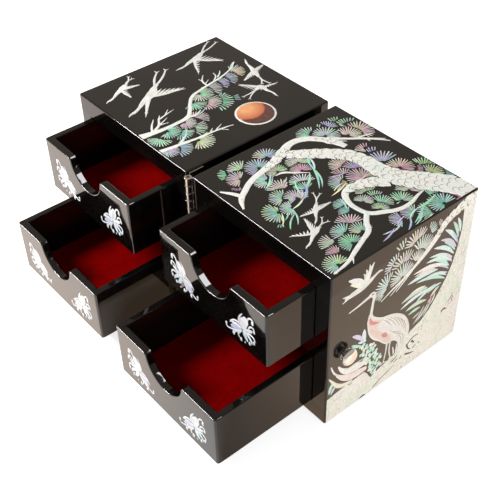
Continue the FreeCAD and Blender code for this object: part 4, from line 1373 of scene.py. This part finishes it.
leftTopArt = (leftTopPine, leftTopFans, leftTopLeaves, leftTopCranes)
makePine("leftTop", leftTopArt, shellWhite, 0, ("left_top_pine", "left_top_cranes"))


def makeSun():
    # a low round boss and the ring about it, each set where its solid is
    discLow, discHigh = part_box("sun_disc")
    ringLow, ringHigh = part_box("sun_ring")
    centre = (discLow + discHigh) / 2
    radius = (discHigh.x - discLow.x) / 2 / mm
    floor = discLow.z
    height = (discHigh.z - floor) / mm
    rings = [(radius - 0.02, 0.01), (radius, height * 0.5), (radius - 0.12, height * 0.9), (radius - 0.5, height),
             (radius * 0.5, height)]
    disc = turnedPiece("sunDisc", rings, 64)
    disc.data.transform(Matrix.Translation((centre.x, centre.y, floor)))
    hand(disc, "left_cabinet", "shell_amber", sunShell, "sun_disc", smooth=30)
    outer = (ringHigh.x - ringLow.x) / 2
    inner = outer - sunLook["ringWidth"] * mm
    clearSelection()
    bpy.ops.mesh.primitive_torus_add(major_segments=96, minor_segments=12, major_radius=(outer + inner) / 2,
                                     minor_radius=(outer - inner) / 2, location=(centre.x, centre.y, ringLow.z))
    ring = bpy.context.object
    ring.name = "sunRing"
    ring.scale = (1, 1, 0.3)
    settle(ring)
    hand(ring, "left_cabinet", "shell_white", shellWhite, "sun_ring", weighted=False)


makeSun()
print("left top inlaid")


# right side: pine over the rocks, the standing crane, a flying crane and plants

rightSidePine = [
    [(100.6, 96.4, 7), (93, 97, 6.8), (84, 94.8, 5.6), (76.4, 91.2, 5), (71.4, 85.5, 4.4), (65.5, 80.2, 3.6),
     (58.5, 75.6, 2.6), (50, 71.4, 1.6), (42.5, 68.8, 1.2), (34.6, 65.2, 0.5)],
    [(57, 74.4, 1.6), (51.5, 70, 1.2), (45, 65.2, 0.5)],
    [(51, 71.6, 1.2), (45.5, 68, 1), (41, 65, 0.4)],
]
groundLine = [
    (0.6, 18.5), (9, 19.6), (20, 20.2), (27, 20.4), (29.6, 17), (32, 12.4), (35, 13.6), (41, 15.6), (49, 17.4),
    (52, 20.4), (56, 22.4), (60, 27.4), (68, 30.2), (74, 35.2), (79.4, 43), (84, 50.4), (87.4, 58), (89.6, 67),
    (91.2, 80), (90.4, 92), (90.6, 101),
]
sideFans = [
    (48.5, 88, 9, 112, "half", "sage", "ice"), (56.5, 89.5, 8.5, 98, "half", "blush", "peach"),
    (64, 90.5, 7, 95, "half", "sea", "ice"), (69.5, 91, 5.4, 66, "half", "pink", "blush"),
    (43.6, 83.4, 7.6, 142, "half", "lilac", "ice"), (49, 79.8, 8.6, 106, "half", "violet", "peach"),
    (60.6, 82.4, 8.8, 84, "half", "sage", "ice"), (38.6, 72.6, 8.4, 128, "half", "sea", "ice"),
    (48.6, 72.4, 8.6, 98, "half", "sage", "ice"), (57.4, 77.6, 6.4, 100, "half", "cream", "blush"),
    (36.4, 69.4, 4.4, 172, "slim", "sea", "teal"),
]
sideLeaves = [
    ("ice", leaf(88, 74, 77.4, 86.8, 2.4, -1.2)), ("sea", leaf(89, 76, 83.2, 88.8, 2.2, -0.9)),
    ("ice", leaf(90, 79, 86.4, 89.8, 2.0, -0.7)), ("lilac", leaf(88.4, 70, 75.2, 81.4, 2.5, -1.4)),
    ("ice", leaf(87.4, 66, 70.4, 78.6, 2.6, -1.8)), ("sea", leaf(88, 68, 78.4, 78.2, 2.0, -1)),
    ("blue", leaf(89.4, 72, 83, 82, 1.8, -0.6)), ("ice", leaf(86, 62, 66, 71.6, 2.6, -2)),
    ("ice", leaf(86.6, 64, 68, 74, 2.0, -1.6)), ("sea", leaf(85, 59, 72.6, 69.4, 2.2, -1.2)),
    ("white", leaf(83.6, 60, 57, 69.2, 2.6, -2.4)), ("ice", leaf(76, 61.6, 53.4, 64.6, 3.0, -1.2)),
    ("blush", leaf(74, 63.6, 58, 67, 1.8, -1)), ("ice", leaf(84.4, 54.6, 63.6, 60.6, 2.2, -1.6)),
    ("blue", leaf(85, 57, 74, 65, 1.9, -1)), ("sea", leaf(83, 51.4, 60, 61.8, 2.3, -2)),
    ("ice", leaf(84, 53, 72, 60.4, 1.7, -0.9)), ("lilac", leaf(87, 60.6, 80, 70, 1.7, -0.7)),
    ("sage", leaf(69.6, 53, 50.4, 53.6, 3.0, -1.8)), ("ice", leaf(71, 51.4, 50.2, 49.6, 2.6, -1.2)),
    ("cream", leaf(68, 55, 56, 56, 1.8, -0.8)), ("ice", leaf(76, 51.4, 62, 47.2, 2.4, -0.8)),
    ("sage", leaf(70, 44, 54.4, 45.6, 2.8, -1.2)), ("sea", leaf(66, 41.4, 57, 41.2, 2.0, -0.6)),
    ("blush", leaf(79.6, 48, 73.4, 43.6, 2.2, -0.5)), ("sea", leaf(80.6, 49.6, 70, 48.4, 2.0, -0.8)),
    ("magenta", leaf(74.4, 43.2, 71.6, 40.6, 1.8, 0.2)), ("grey", leaf(72, 40, 64, 31.6, 1.6, 0.9)),
    ("sage", leaf(74, 41, 69, 32.4, 1.5, 0.6)), ("grey", leaf(69, 40.4, 61.6, 31, 1.4, 0.9)),
    ("grey", leaf(66, 38, 60.8, 36, 1.2, 0.3)), ("cream", leaf(77, 44.6, 74.2, 38, 1.3, 0.4)),
    # small plants before the crane
    ("lilac", leaf(23.6, 46, 16, 53.8, 2.6, -0.8)), ("ice", leaf(25.6, 44.6, 24.4, 53.4, 2.8, 0.5)),
    ("sea", leaf(22.4, 43, 15.8, 47.6, 2.2, 0.5)), ("ice", leaf(26.4, 44, 20.4, 46.4, 1.8, 0.3)),
    ("sea", leaf(2.2, 22, 4.6, 29.4, 2.6, 0.4)), ("lilac", leaf(3.4, 20.6, 7.2, 25.6, 1.8, 0.4)),
]
sidePlants = [
    (23.8, 41.4), (26.6, 38.6), (30.6, 37.4), (24.6, 35.2), (28.4, 34), (32.2, 34.6), (27, 30.6), (30.6, 30.2),
    (33.8, 30.4), (29, 26.8), (34.4, 26.6), (37.6, 24.2), (31.6, 23.4), (35.2, 21.8), (37.6, 18.6), (32.6, 17.8),
    (34.6, 14.6), (31.2, 20.4),
]
rockBands = [
    ("blushPale", [(6.4, 32.6, 0.8), (10.6, 28.4, 3.2), (16, 24.6, 4.6), (23, 23.2, 4.8), (28.4, 22.6, 2.2)]),
    ("white", [(7.6, 38.4, 0.8), (10.4, 33.8, 2.6), (15, 30, 4.4), (21.6, 28.6, 5.2), (27.6, 27.4, 2.6)]),
    ("white", [(2.6, 41.6, 0.7), (5, 35.4, 1.1), (9.4, 30.6, 0.9), (13.4, 28.4, 0.3)]),
    ("cream", [(1.6, 33.6, 0.6), (4.2, 29.4, 1.6), (8.4, 23.6, 2.8), (13.8, 21, 2.6), (18.4, 20.8, 1)]),
    ("white", [(9.4, 34.6, 0.5), (14, 32, 1.1), (19.6, 31.8, 1.2), (26.4, 31.6, 0.4)]),
]
rockCracks = [
    [(34.6, 2.4, 1.2), (39, 4.8, 1.0), (44.4, 6.6, 0.9), (50.4, 9, 0.5)],
    [(59.2, 17.4, 1.2), (61.6, 20.2, 1.4), (67, 21, 1.0)], [(58.6, 18.6, 1.6), (60.2, 14.6, 1.4), (62.4, 12.4, 0.6)],
    [(62.4, 18.6, 2.2), (64.6, 16.2, 1.4)], [(58.2, 11.2, 1.8), (61.6, 9.6, 1.6), (65.4, 8.4, 0.8)],
    [(64.2, 11.8, 1.6), (66.6, 13.4, 0.6)], [(47.4, 12.4, 1.4), (50, 13.8, 1.2), (52.4, 15, 0.5)],
    [(49.6, 11, 1.2), (52.6, 12, 0.8)], [(54.4, 10.6, 1.6), (55.6, 12.2, 0.8)],
    [(84.6, 25.2, 1.2), (86.4, 26.6, 2.4), (88.8, 25.6, 0.9)],
    [(89.2, 30.4, 0.7), (91.4, 32.4, 1.1), (92.6, 35.6, 0.4)], [(92.4, 29.2, 1.1), (93, 32.6, 0.6)],
    [(24.4, 0.4, 1.8), (27.6, 1.4, 2.4), (29.6, 0.6, 0.8)], [(15.6, 18.8, 1.1), (18.2, 18.8, 0.5)],
    [(29.8, 17.6, 1.2), (31.6, 14.6, 2.2), (33.2, 13.2, 0.8)], [(68.4, 13.4, 1.8), (69.6, 12.6, 0.6)],
]
standingBody = [
    (27.8, 62), (30.2, 58.6), (33, 56), (37, 53.4), (43, 51.4), (50, 47.4), (55, 42), (58.2, 35), (59, 28),
    (57.2, 22.4), (54.8, 17.6), (52, 18.4), (51.2, 24), (48.8, 28.4), (45.4, 30.2), (42.8, 30), (40.2, 32),
    (36, 36.6), (31, 41.6), (28, 46.6), (26.4, 53), (26.2, 59),
]
standingBreast = [
    (27.2, 60), (29.4, 57), (32.6, 54.2), (36, 52), (34.6, 49.4), (34.4, 46), (38.2, 41.8), (42.6, 37.6), (45, 33.8),
    (44, 31.2), (41.4, 32.2), (37, 37.2), (32, 42.4), (28.8, 47.4), (27.2, 53.4),
]
standingWing = [
    (36.6, 52.2), (43, 50), (49.4, 46), (54, 41), (57, 35), (57.8, 28.6), (55.6, 21.4), (53.6, 19.8), (52.8, 26),
    (49.6, 31.4), (46, 35.6), (42.4, 40.4), (38, 44.8), (36, 48),
]
roseMarks = [
    ("rose", [(27.8, 58.4, 1.2), (28.8, 55, 2.8), (31.4, 52.8, 2.4), (34.6, 51.4, 0.8)]),
    ("rose", [(37.6, 40.4, 1.6), (39.8, 38.8, 4.2), (41.8, 36.6, 2.0)]),
    ("blush", [(42, 36, 2.6), (43.4, 33.4, 3), (43.2, 31.6, 1.2)]),
]
wingRibs = [
    [(37.6, 51, 0.3), (41.4, 47, 0.5), (44.4, 42.4, 0.3)], [(40.2, 50.4, 0.3), (44.4, 46, 0.5), (48, 40.4, 0.3)],
    [(43, 49.4, 0.3), (47.4, 44.4, 0.5), (51, 38, 0.3)], [(45.8, 47.8, 0.3), (50.2, 42.4, 0.5), (53.4, 35.4, 0.3)],
    [(48.6, 45.8, 0.3), (52.6, 40.4, 0.5), (55.2, 33, 0.3)], [(51.4, 43, 0.3), (54.6, 38, 0.5), (56.4, 30, 0.3)],
    [(43.6, 39.4, 0.3), (48, 35.4, 0.5), (52.8, 32.4, 0.3)], [(46, 36.4, 0.3), (50, 33, 0.5), (54, 29.6, 0.3)],
    [(50.4, 32, 0.3), (52.8, 28, 0.5), (53.8, 22.4, 0.3)], [(53.6, 31, 0.3), (55, 27, 0.5), (55.2, 21.4, 0.3)],
]
sideCranes = [
    # standing crane: beak, head and neck, legs and toes
    ("white", [(12.4, 72, 0.7), (18, 72.6, 1.3), (25.4, 74, 2.0), (28, 74.4, 3.4), (29.4, 72, 2.4), (28.8, 68, 1.8),
               (28.4, 63.4, 2), (27.8, 58, 2.6)]),
    ("red", [(26.4, 74.8, 1.1), (28, 74.6, 1.8), (29.2, 73.4, 1.0)]),
    ("white", [(42.6, 31.4, 1.3), (42.2, 24, 1.0), (41.2, 16.8, 0.9)]),
    ("white", [(45, 30.4, 1.2), (44.8, 24, 1.0), (46.4, 16.8, 0.9)]),
    ("white", [(38.4, 16.4, 0.4), (41.2, 17, 0.8), (43.6, 16.2, 0.4)]),
    ("white", [(44.6, 17.4, 0.4), (46.4, 17, 0.8), (49, 17, 0.4)]),
    ("white", [(47.4, 24.6, 0.5), (48.4, 20.4, 1.2), (48.6, 17.8, 0.6)]),
    ("white", [(50.4, 25, 0.6), (50.6, 20.6, 1.4), (50, 17.6, 0.6)]),
    # flying crane
    ("white", [(9, 82.8, 1.4), (13, 83, 3), (20, 83.6, 4.2), (25, 84.8, 3.2), (28.6, 86.4, 1.8), (31.4, 87.3, 1.4),
               (33.8, 86.7, 0.5)]),
    ("white", [(12.4, 83.4, 1.2), (7.6, 84.8, 0.6)]), ("white", [(12, 82.4, 1.4), (7.8, 81.2, 0.6)]),
    ("white", [(20.8, 84.8, 4.4), (17.6, 88.6, 4.4), (14, 91.6, 2.8), (10.8, 93.6, 0.6)]),
    ("cream", [(18.6, 86, 2.8), (15, 88.6, 2.2), (12.2, 90.2, 0.6)]),
    ("white", [(22.4, 85, 3.8), (24, 89, 3.2), (25.6, 92.6, 2), (27.2, 95.6, 0.6)]),
    ("cream", [(22, 87, 2), (21.8, 90, 1.5), (20.6, 92, 0.4)]),
    ("white", [(23, 88, 2), (22.8, 92, 1.5), (22, 94, 0.4)]),
    ("cream", [(24.2, 90, 1.8), (24.6, 94, 1.2), (24.2, 95.8, 0.4)]),
]


def groundHeight(u):
    # how high the rocks reach at a place across the panel
    for (u0, v0), (u1, v1) in zip(groundLine, groundLine[1:]):
        if u0 <= u < u1:
            return v0 + (v1 - v0) * (u - u0) / (u1 - u0)
    return 101


rockLook = {"height": 0.8, "crackRise": 1.45, "streaks": 380,
            "streakTints": ("mint", "blushPale", "icePale", "white", "stone", "mintDeep", "stone", "sandPale")}


def rockStreaks():
    # pale slivers of shell that follow the slope of the rocks
    rows = []
    while len(rows) < rockLook["streaks"]:
        u, v = 1.5 + 97 * rng.random(), 1 + 99 * rng.random()
        if v > groundHeight(u) - 2.5:
            continue
        lean = math.radians(35 + 55 * min(1.0, max(0.0, (u - 40) / 50)) + 50 * (rng.random() - 0.5))
        heading = Vector((math.cos(lean), math.sin(lean)))
        half, width = 1.6 + 3.4 * rng.random(), 0.3 + 0.6 * rng.random()
        bow = Vector((-heading.y, heading.x)) * (rng.random() - 0.5)
        spot = Vector((u, v))
        if (spot + heading * half).y > groundHeight((spot + heading * half).x) - 0.8:
            continue
        tint = rockLook["streakTints"][rng.randrange(8)]
        rows.append((tint, [(*(spot - heading * half), 0.2), (*(spot + bow), width), (*(spot + heading * half), 0.2)]))
    return rows


# the standing crane's cut shapes: outline, tint and how far each stands out; then lines on them, and their lift
standingShapes = [("body", standingBody, "white", 1.0), ("breast", standingBreast, "blushSoft", 1.12),
                  ("wing", standingWing, "white", 1.2)]
standingLines = [("rose", roseMarks, 2, 5, 0.05), ("ribs", [("rib", rib) for rib in wingRibs], 1, 4, 0.12),
                 ("birds", sideCranes, 2, 5, 0.02)]
plantLook = {"turns": (20, 150, 270), "drift": 47, "reach": 2.5, "width": 2.1,
             "tints": ("ice", "sea", "cream", "sea")}


def makeSide(panel, nodes=(), mirror=False):
    # the side panel: rocks with streaks and cracks, pine, plants and the cranes
    def lay(piece, material, slot, *replaced):
        layOn(panel, piece, material, slot, *replaced, mirror=mirror)

    corners = [(99.9, 101), (99.9, 0.2), (0.2, 0.2)]
    rocks = flatShape(panel + "Rocks", groundLine + corners, 2 * inlayRise * rockLook["height"])
    lay(rocks, shellRock, "shell_white")
    lay(tintedStrokes(panel + "RockStreaks", rockStreaks() + rockBands, 1, 2), shellTinted, "shell_white")
    lay(strokes(panel + "RockCracks", rockCracks, 1, 4, rockLook["crackRise"]), lacquer, "lacquer")
    makeTrunk(panel, rightSidePine, shellWhite, 1, *nodes[:1], mirror=mirror)
    lay(fans(panel + "Needles", sideFans), shellPearl, "shell_abalone")
    plants = []
    for n, (u, v) in enumerate(sidePlants):
        for turn in plantLook["turns"]:
            a = math.radians(turn + plantLook["drift"] * n)
            tip = (u + plantLook["reach"] * math.cos(a), v + plantLook["reach"] * math.sin(a))
            plants.append((plantLook["tints"][(n + turn // 100) % 4], leaf(u, v, *tip, plantLook["width"], 0.2)))
    lay(tintedStrokes(panel + "Leaves", sideLeaves + plants), shellPearl, "shell_abalone")
    parts = []
    for name, outline, tint, top in standingShapes:
        parts.append(paint(flatShape(name, outline, 2 * inlayRise * top, smooth=True), tints[tint]))
    for name, rows, sides, resolution, lift in standingLines:
        parts.append(tintedStrokes(name, rows, sides, resolution))
        parts[-1].data.transform(Matrix.Translation((0, 0, lift)))
    lay(joined(parts, panel + "Cranes"), shellTinted, "shell_white", *nodes[1:])


makeSide("rightSide", ("right_side_pine", "right_side_cranes"))
print("right side inlaid")

# the sides away from the viewer carry the same patterns turned about
makeSide("leftSide", mirror=True)
makePine("rightBack", (leftTopPine, leftTopFans, leftTopLeaves, leftTopCranes[:2]), shellWhite, 0)
makePine("leftBack", rightTopArt, shellBark, 4, mirror=True)
print("other sides inlaid")


# flowers on the drawer fronts

flowerPetals = [
    ("pearl", [(64.2, 12.2, 1.4), (65, 15.4, 4.2), (66, 18.8, 5.2), (66.2, 21.4, 2.6)]),
    ("lilacPale", [(63.4, 11.8, 1.2), (60.6, 10.6, 3.4), (57.6, 9, 4.0), (55.4, 8, 1.8)]),
    ("icePale", [(64.6, 12, 1.4), (65.4, 9.4, 3.2), (66.8, 7.2, 2.2), (67.6, 6.4, 0.8)]),
    ("pearl", [(64.6, 12.6, 1.2), (67.4, 13.6, 2.6), (70, 15, 2.2), (71, 16, 0.8)]),
    ("pearl", [(63.2, 12.4, 1.0), (62.6, 15.8, 2.2), (63.6, 18.6, 2.0), (65, 20.4, 0.5)]),
    ("pearl", [(62.6, 12.2, 1.0), (59.6, 12.0, 2.2), (57, 11.2, 2.0), (54.8, 11.2, 0.5)]),
    ("icePale", [(65.2, 12.2, 1.0), (68, 10.4, 2.4), (70.2, 8.4, 1.8), (70.6, 6.8, 0.5)]),
    ("pearl", [(62.8, 11, 0.9), (60, 8.4, 2.2), (58.4, 6.6, 1.6), (58.4, 5.6, 0.5)]),
    ("pearl", [(61.4, 13.6, 0.5), (61.2, 16.6, 1.2), (62.2, 19.4, 1.1), (64, 22.2, 0.5)]),
    ("pearl", [(54.6, 10, 0.5), (56.6, 12.6, 1.0), (59.8, 14.2, 1.2), (63, 13.4, 0.7)]),
    ("pearl", [(63.6, 10.8, 0.6), (61.6, 8.6, 1.4), (60.6, 6.4, 1.1), (61.2, 4.8, 0.8)]),
    ("pearl", [(60, 8.6, 0.6), (57.4, 6.8, 0.9), (54.8, 5.8, 0.9), (52.6, 5.2, 0.8), (51.4, 6.2, 0.8)]),
    ("pearl", [(67.6, 19.8, 0.6), (68.4, 22.2, 1.0), (70.4, 23.2, 1.1), (71.8, 22.2, 0.9)]),
    ("pearl", [(68, 14.6, 0.8), (69.4, 17.4, 1.1), (71.4, 18.2, 1.0), (72.4, 17.2, 0.9)]),
    ("pearl", [(66.6, 11.4, 0.7), (69.4, 12.4, 1.1), (72, 11.8, 1.0), (72.8, 10, 0.8)]),
]
flowerLook = {"wide": 1.6, "share": 0.86}        # petals wider than this are cut to a share of their drawn width
flowerDrops = [
    (71.2, 21.2, 1.5), (72.2, 16.2, 1.3), (72, 8.8, 1.3), (68.9, 6.2, 1.3), (62.6, 4.4, 1.5), (57.2, 4.6, 1.5),
    (51.8, 7.2, 1.2), (65.6, 4.6, 0.7),
]


def makeFlowers(drawer):
    # two sprays of flowers, one the mirror image of the other
    low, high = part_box(f"{drawer}_drawer_front")
    width, height = (high.x - low.x) / mm, (high.z - low.z) / mm
    panels[drawer] = (panelFrame(low / mm, (1, 0, 0), (0, 0, 1)), f"{drawer}_drawer", width, height)
    drops = [("pearl", [(x - 0.5 * r, y, r), (x, y, 2 * r), (x + 0.5 * r, y, r)]) for x, y, r in flowerDrops]
    wide, share = flowerLook["wide"], flowerLook["share"]
    petals = [(tint, [(x, y, (share if w > wide else 1.0) * w) for x, y, w in line]) for tint, line in flowerPetals]
    rows = petals + drops
    twins = [(tint, [(width - x, y, w) for x, y, w in line]) for tint, line in rows]
    piece = tintedStrokes(pieceName(drawer) + "Flowers", rows + twins, 2, 5)
    layOn(drawer, piece, shellTinted, "shell_white", f"{drawer}_drawer_flowers")


for drawer in ("right_lower", "right_upper", "left_lower", "left_upper"):
    makeFlowers(drawer)
print("drawer fronts inlaid")


# floor, light and camera

stageLook = {
    "floorTone": 0.85,           # base colour of the pale floor
    "floorWhite": 0.76,          # added for the camera only
    "floorMirror": (0.60, 0.40, 0.25),
    "paintedShadowToLight": (0.0, 1.5),    # share of that colour before the right drawers and beside the right cabinet: a painted shadow before the drawers, painted light beside the cabinet
    "worldMirror": (0.56, 0.49, 0.42),
    "worldLight": 0.28,
    # lamps that mirrors do not see: place, size and watts
    "lamps": [("keyLight", (-0.50, -0.50, 0.66), 0.30, 9.8), ("sideLight", (0.95, -0.10, 0.22), 0.5, 4.1)],
    "lampAim": (0, 0, 0.05),
    # lamps that only mirrors see: place, width, height, turn, watts, and which pieces they shine on
    "glints": [("edgeGlint", (-0.67, -0.91, 0.25), 0.5, 0.16, 0, 20.0, None),
               ("scoopGlint", (0.36, 0.51, 0.95), 0.9, 0.40, 37, 28.0, "Front")],
    "glintAim": (0.02, 0, 0.05),
}


def mirrorSwitch(nodes, links, seen, mirrored):
    # one colour for the camera and another for mirrors, and a switch that is on for both and off for light
    path = nodes.new("ShaderNodeLightPath")
    either = nodes.new("ShaderNodeMath")
    either.operation = "MAXIMUM"
    links.new(path.outputs["Is Camera Ray"], either.inputs[0])
    links.new(path.outputs["Is Glossy Ray"], either.inputs[1])
    colour = mixNode(nodes, links, "MIX", path.outputs["Is Glossy Ray"], seen, mirrored)
    return colour, either.outputs["Value"]


def makeFloor():
    look = stageLook
    clearSelection()
    bpy.ops.mesh.primitive_plane_add(size=6, location=(0, 0, -0.0002))
    floor = bpy.context.object
    floor.name = "paleFloor"
    material, nodes, links, shader, place = blank("paleFloor")
    shader.inputs["Base Color"].default_value = (look["floorTone"], look["floorTone"], look["floorTone"], 1)
    shader.inputs["Roughness"].default_value = 0.9
    shader.inputs["Specular IOR Level"].default_value = 0.0
    # what mirrors see of the floor: a painted shadow before the right drawers, painted light beside the right cabinet
    spot = nodes.new("ShaderNodeSeparateXYZ")
    links.new(place.outputs["Object"], spot.inputs[0])
    lighter = rangeNode(nodes, links, spot.outputs["Y"], *look["paintedShadowToLight"], -0.10, 0.0)
    rightward = rangeNode(nodes, links, spot.outputs["X"], 0, 1, 0.0, 0.08)
    share = mixNode(nodes, links, "MIX", rightward, (1, 1, 1), lighter)
    mirrored = mixNode(nodes, links, "MULTIPLY", 1.0, look["floorMirror"], share)
    glow, either = mirrorSwitch(nodes, links, [look["floorWhite"]] * 3, mirrored)
    links.new(glow, shader.inputs["Emission Color"])
    links.new(either, shader.inputs["Emission Strength"])
    floor.data.materials.append(material)


def makeWorld():
    # white for the camera, a warm studio for mirrors, and dimmer as a light
    world = bpy.data.worlds.new("studio")
    bpy.context.scene.world = world
    world.use_nodes = True
    nodes, links = world.node_tree.nodes, world.node_tree.links
    sky, either = mirrorSwitch(nodes, links, (1, 1, 1), stageLook["worldMirror"])
    strength = rangeNode(nodes, links, either, stageLook["worldLight"], 1.0, 0, 1)
    background = nodes["Background"]
    links.new(sky, background.inputs["Color"])
    links.new(strength, background.inputs["Strength"])


def hangLamp(name, spot, target, power, width, height=None, turn=0):
    # a round lamp, or an oblong one turned about its aim
    lamp = bpy.data.lights.new(name, "AREA")
    lamp.shape = "RECTANGLE" if height else "DISK"
    lamp.size = width
    if height:
        lamp.size_y = height
    lamp.energy = power
    holder = bpy.data.objects.new(name, lamp)
    bpy.context.scene.collection.objects.link(holder)
    holder.location = spot
    aim = (Vector(target) - Vector(spot)).to_track_quat("-Z", "Y")
    holder.rotation_euler = (aim @ Quaternion((0, 0, 1), math.radians(turn))).to_euler()
    return holder


def makeLamps():
    for name, spot, size, power in stageLook["lamps"]:
        hangLamp(name, spot, stageLook["lampAim"], power, size).visible_glossy = False
    for name, spot, width, height, turn, power, shinesOn in stageLook["glints"]:
        holder = hangLamp(name, spot, stageLook["glintAim"], power, width, height, turn)
        holder.visible_camera = False
        holder.visible_diffuse = False
        if shinesOn:
            group = bpy.data.collections.new(name + "Pieces")
            for thing in bpy.context.scene.objects:
                if thing.type == "MESH" and thing.name.endswith(shinesOn):
                    group.objects.link(thing)
            holder.light_linking.receiver_collection = group
            print(name, "shines on", len(group.objects), "pieces")


# the photograph's camera: degrees, millimetres, and the point it looks at
cameraLook = {"azimuth": 50.92, "elevation": 41.15, "roll": -1.54, "distance": 497.2, "lens": 66.4,
              "target": (19.8, 2.8, 50.75)}


def makeCamera():
    az, el, roll = (math.radians(cameraLook[key]) for key in ("azimuth", "elevation", "roll"))
    target = Vector(cameraLook["target"]) * mm
    away = Vector((math.sin(az) * math.cos(el), -math.cos(az) * math.cos(el), math.sin(el)))
    data = bpy.data.cameras.new("camera")
    data.lens = cameraLook["lens"]
    data.sensor_width = 36
    data.clip_start = 0.01
    camera = bpy.data.objects.new("camera", data)
    bpy.context.scene.collection.objects.link(camera)
    right = (-away).cross(Vector((0, 0, 1))).normalized()
    up = right.cross(-away).normalized()
    turnedRight = math.cos(roll) * right + math.sin(roll) * up
    turnedUp = -math.sin(roll) * right + math.cos(roll) * up
    place = target + away * cameraLook["distance"] * mm
    camera.matrix_world = Matrix((
        (turnedRight.x, turnedUp.x, away.x, place.x), (turnedRight.y, turnedUp.y, away.y, place.y),
        (turnedRight.z, turnedUp.z, away.z, place.z), (0, 0, 0, 1)))
    bpy.context.scene.camera = camera


makeFloor()
makeWorld()
makeLamps()
makeCamera()
bpy.context.scene.view_settings.view_transform = "Standard"
print("stage set")
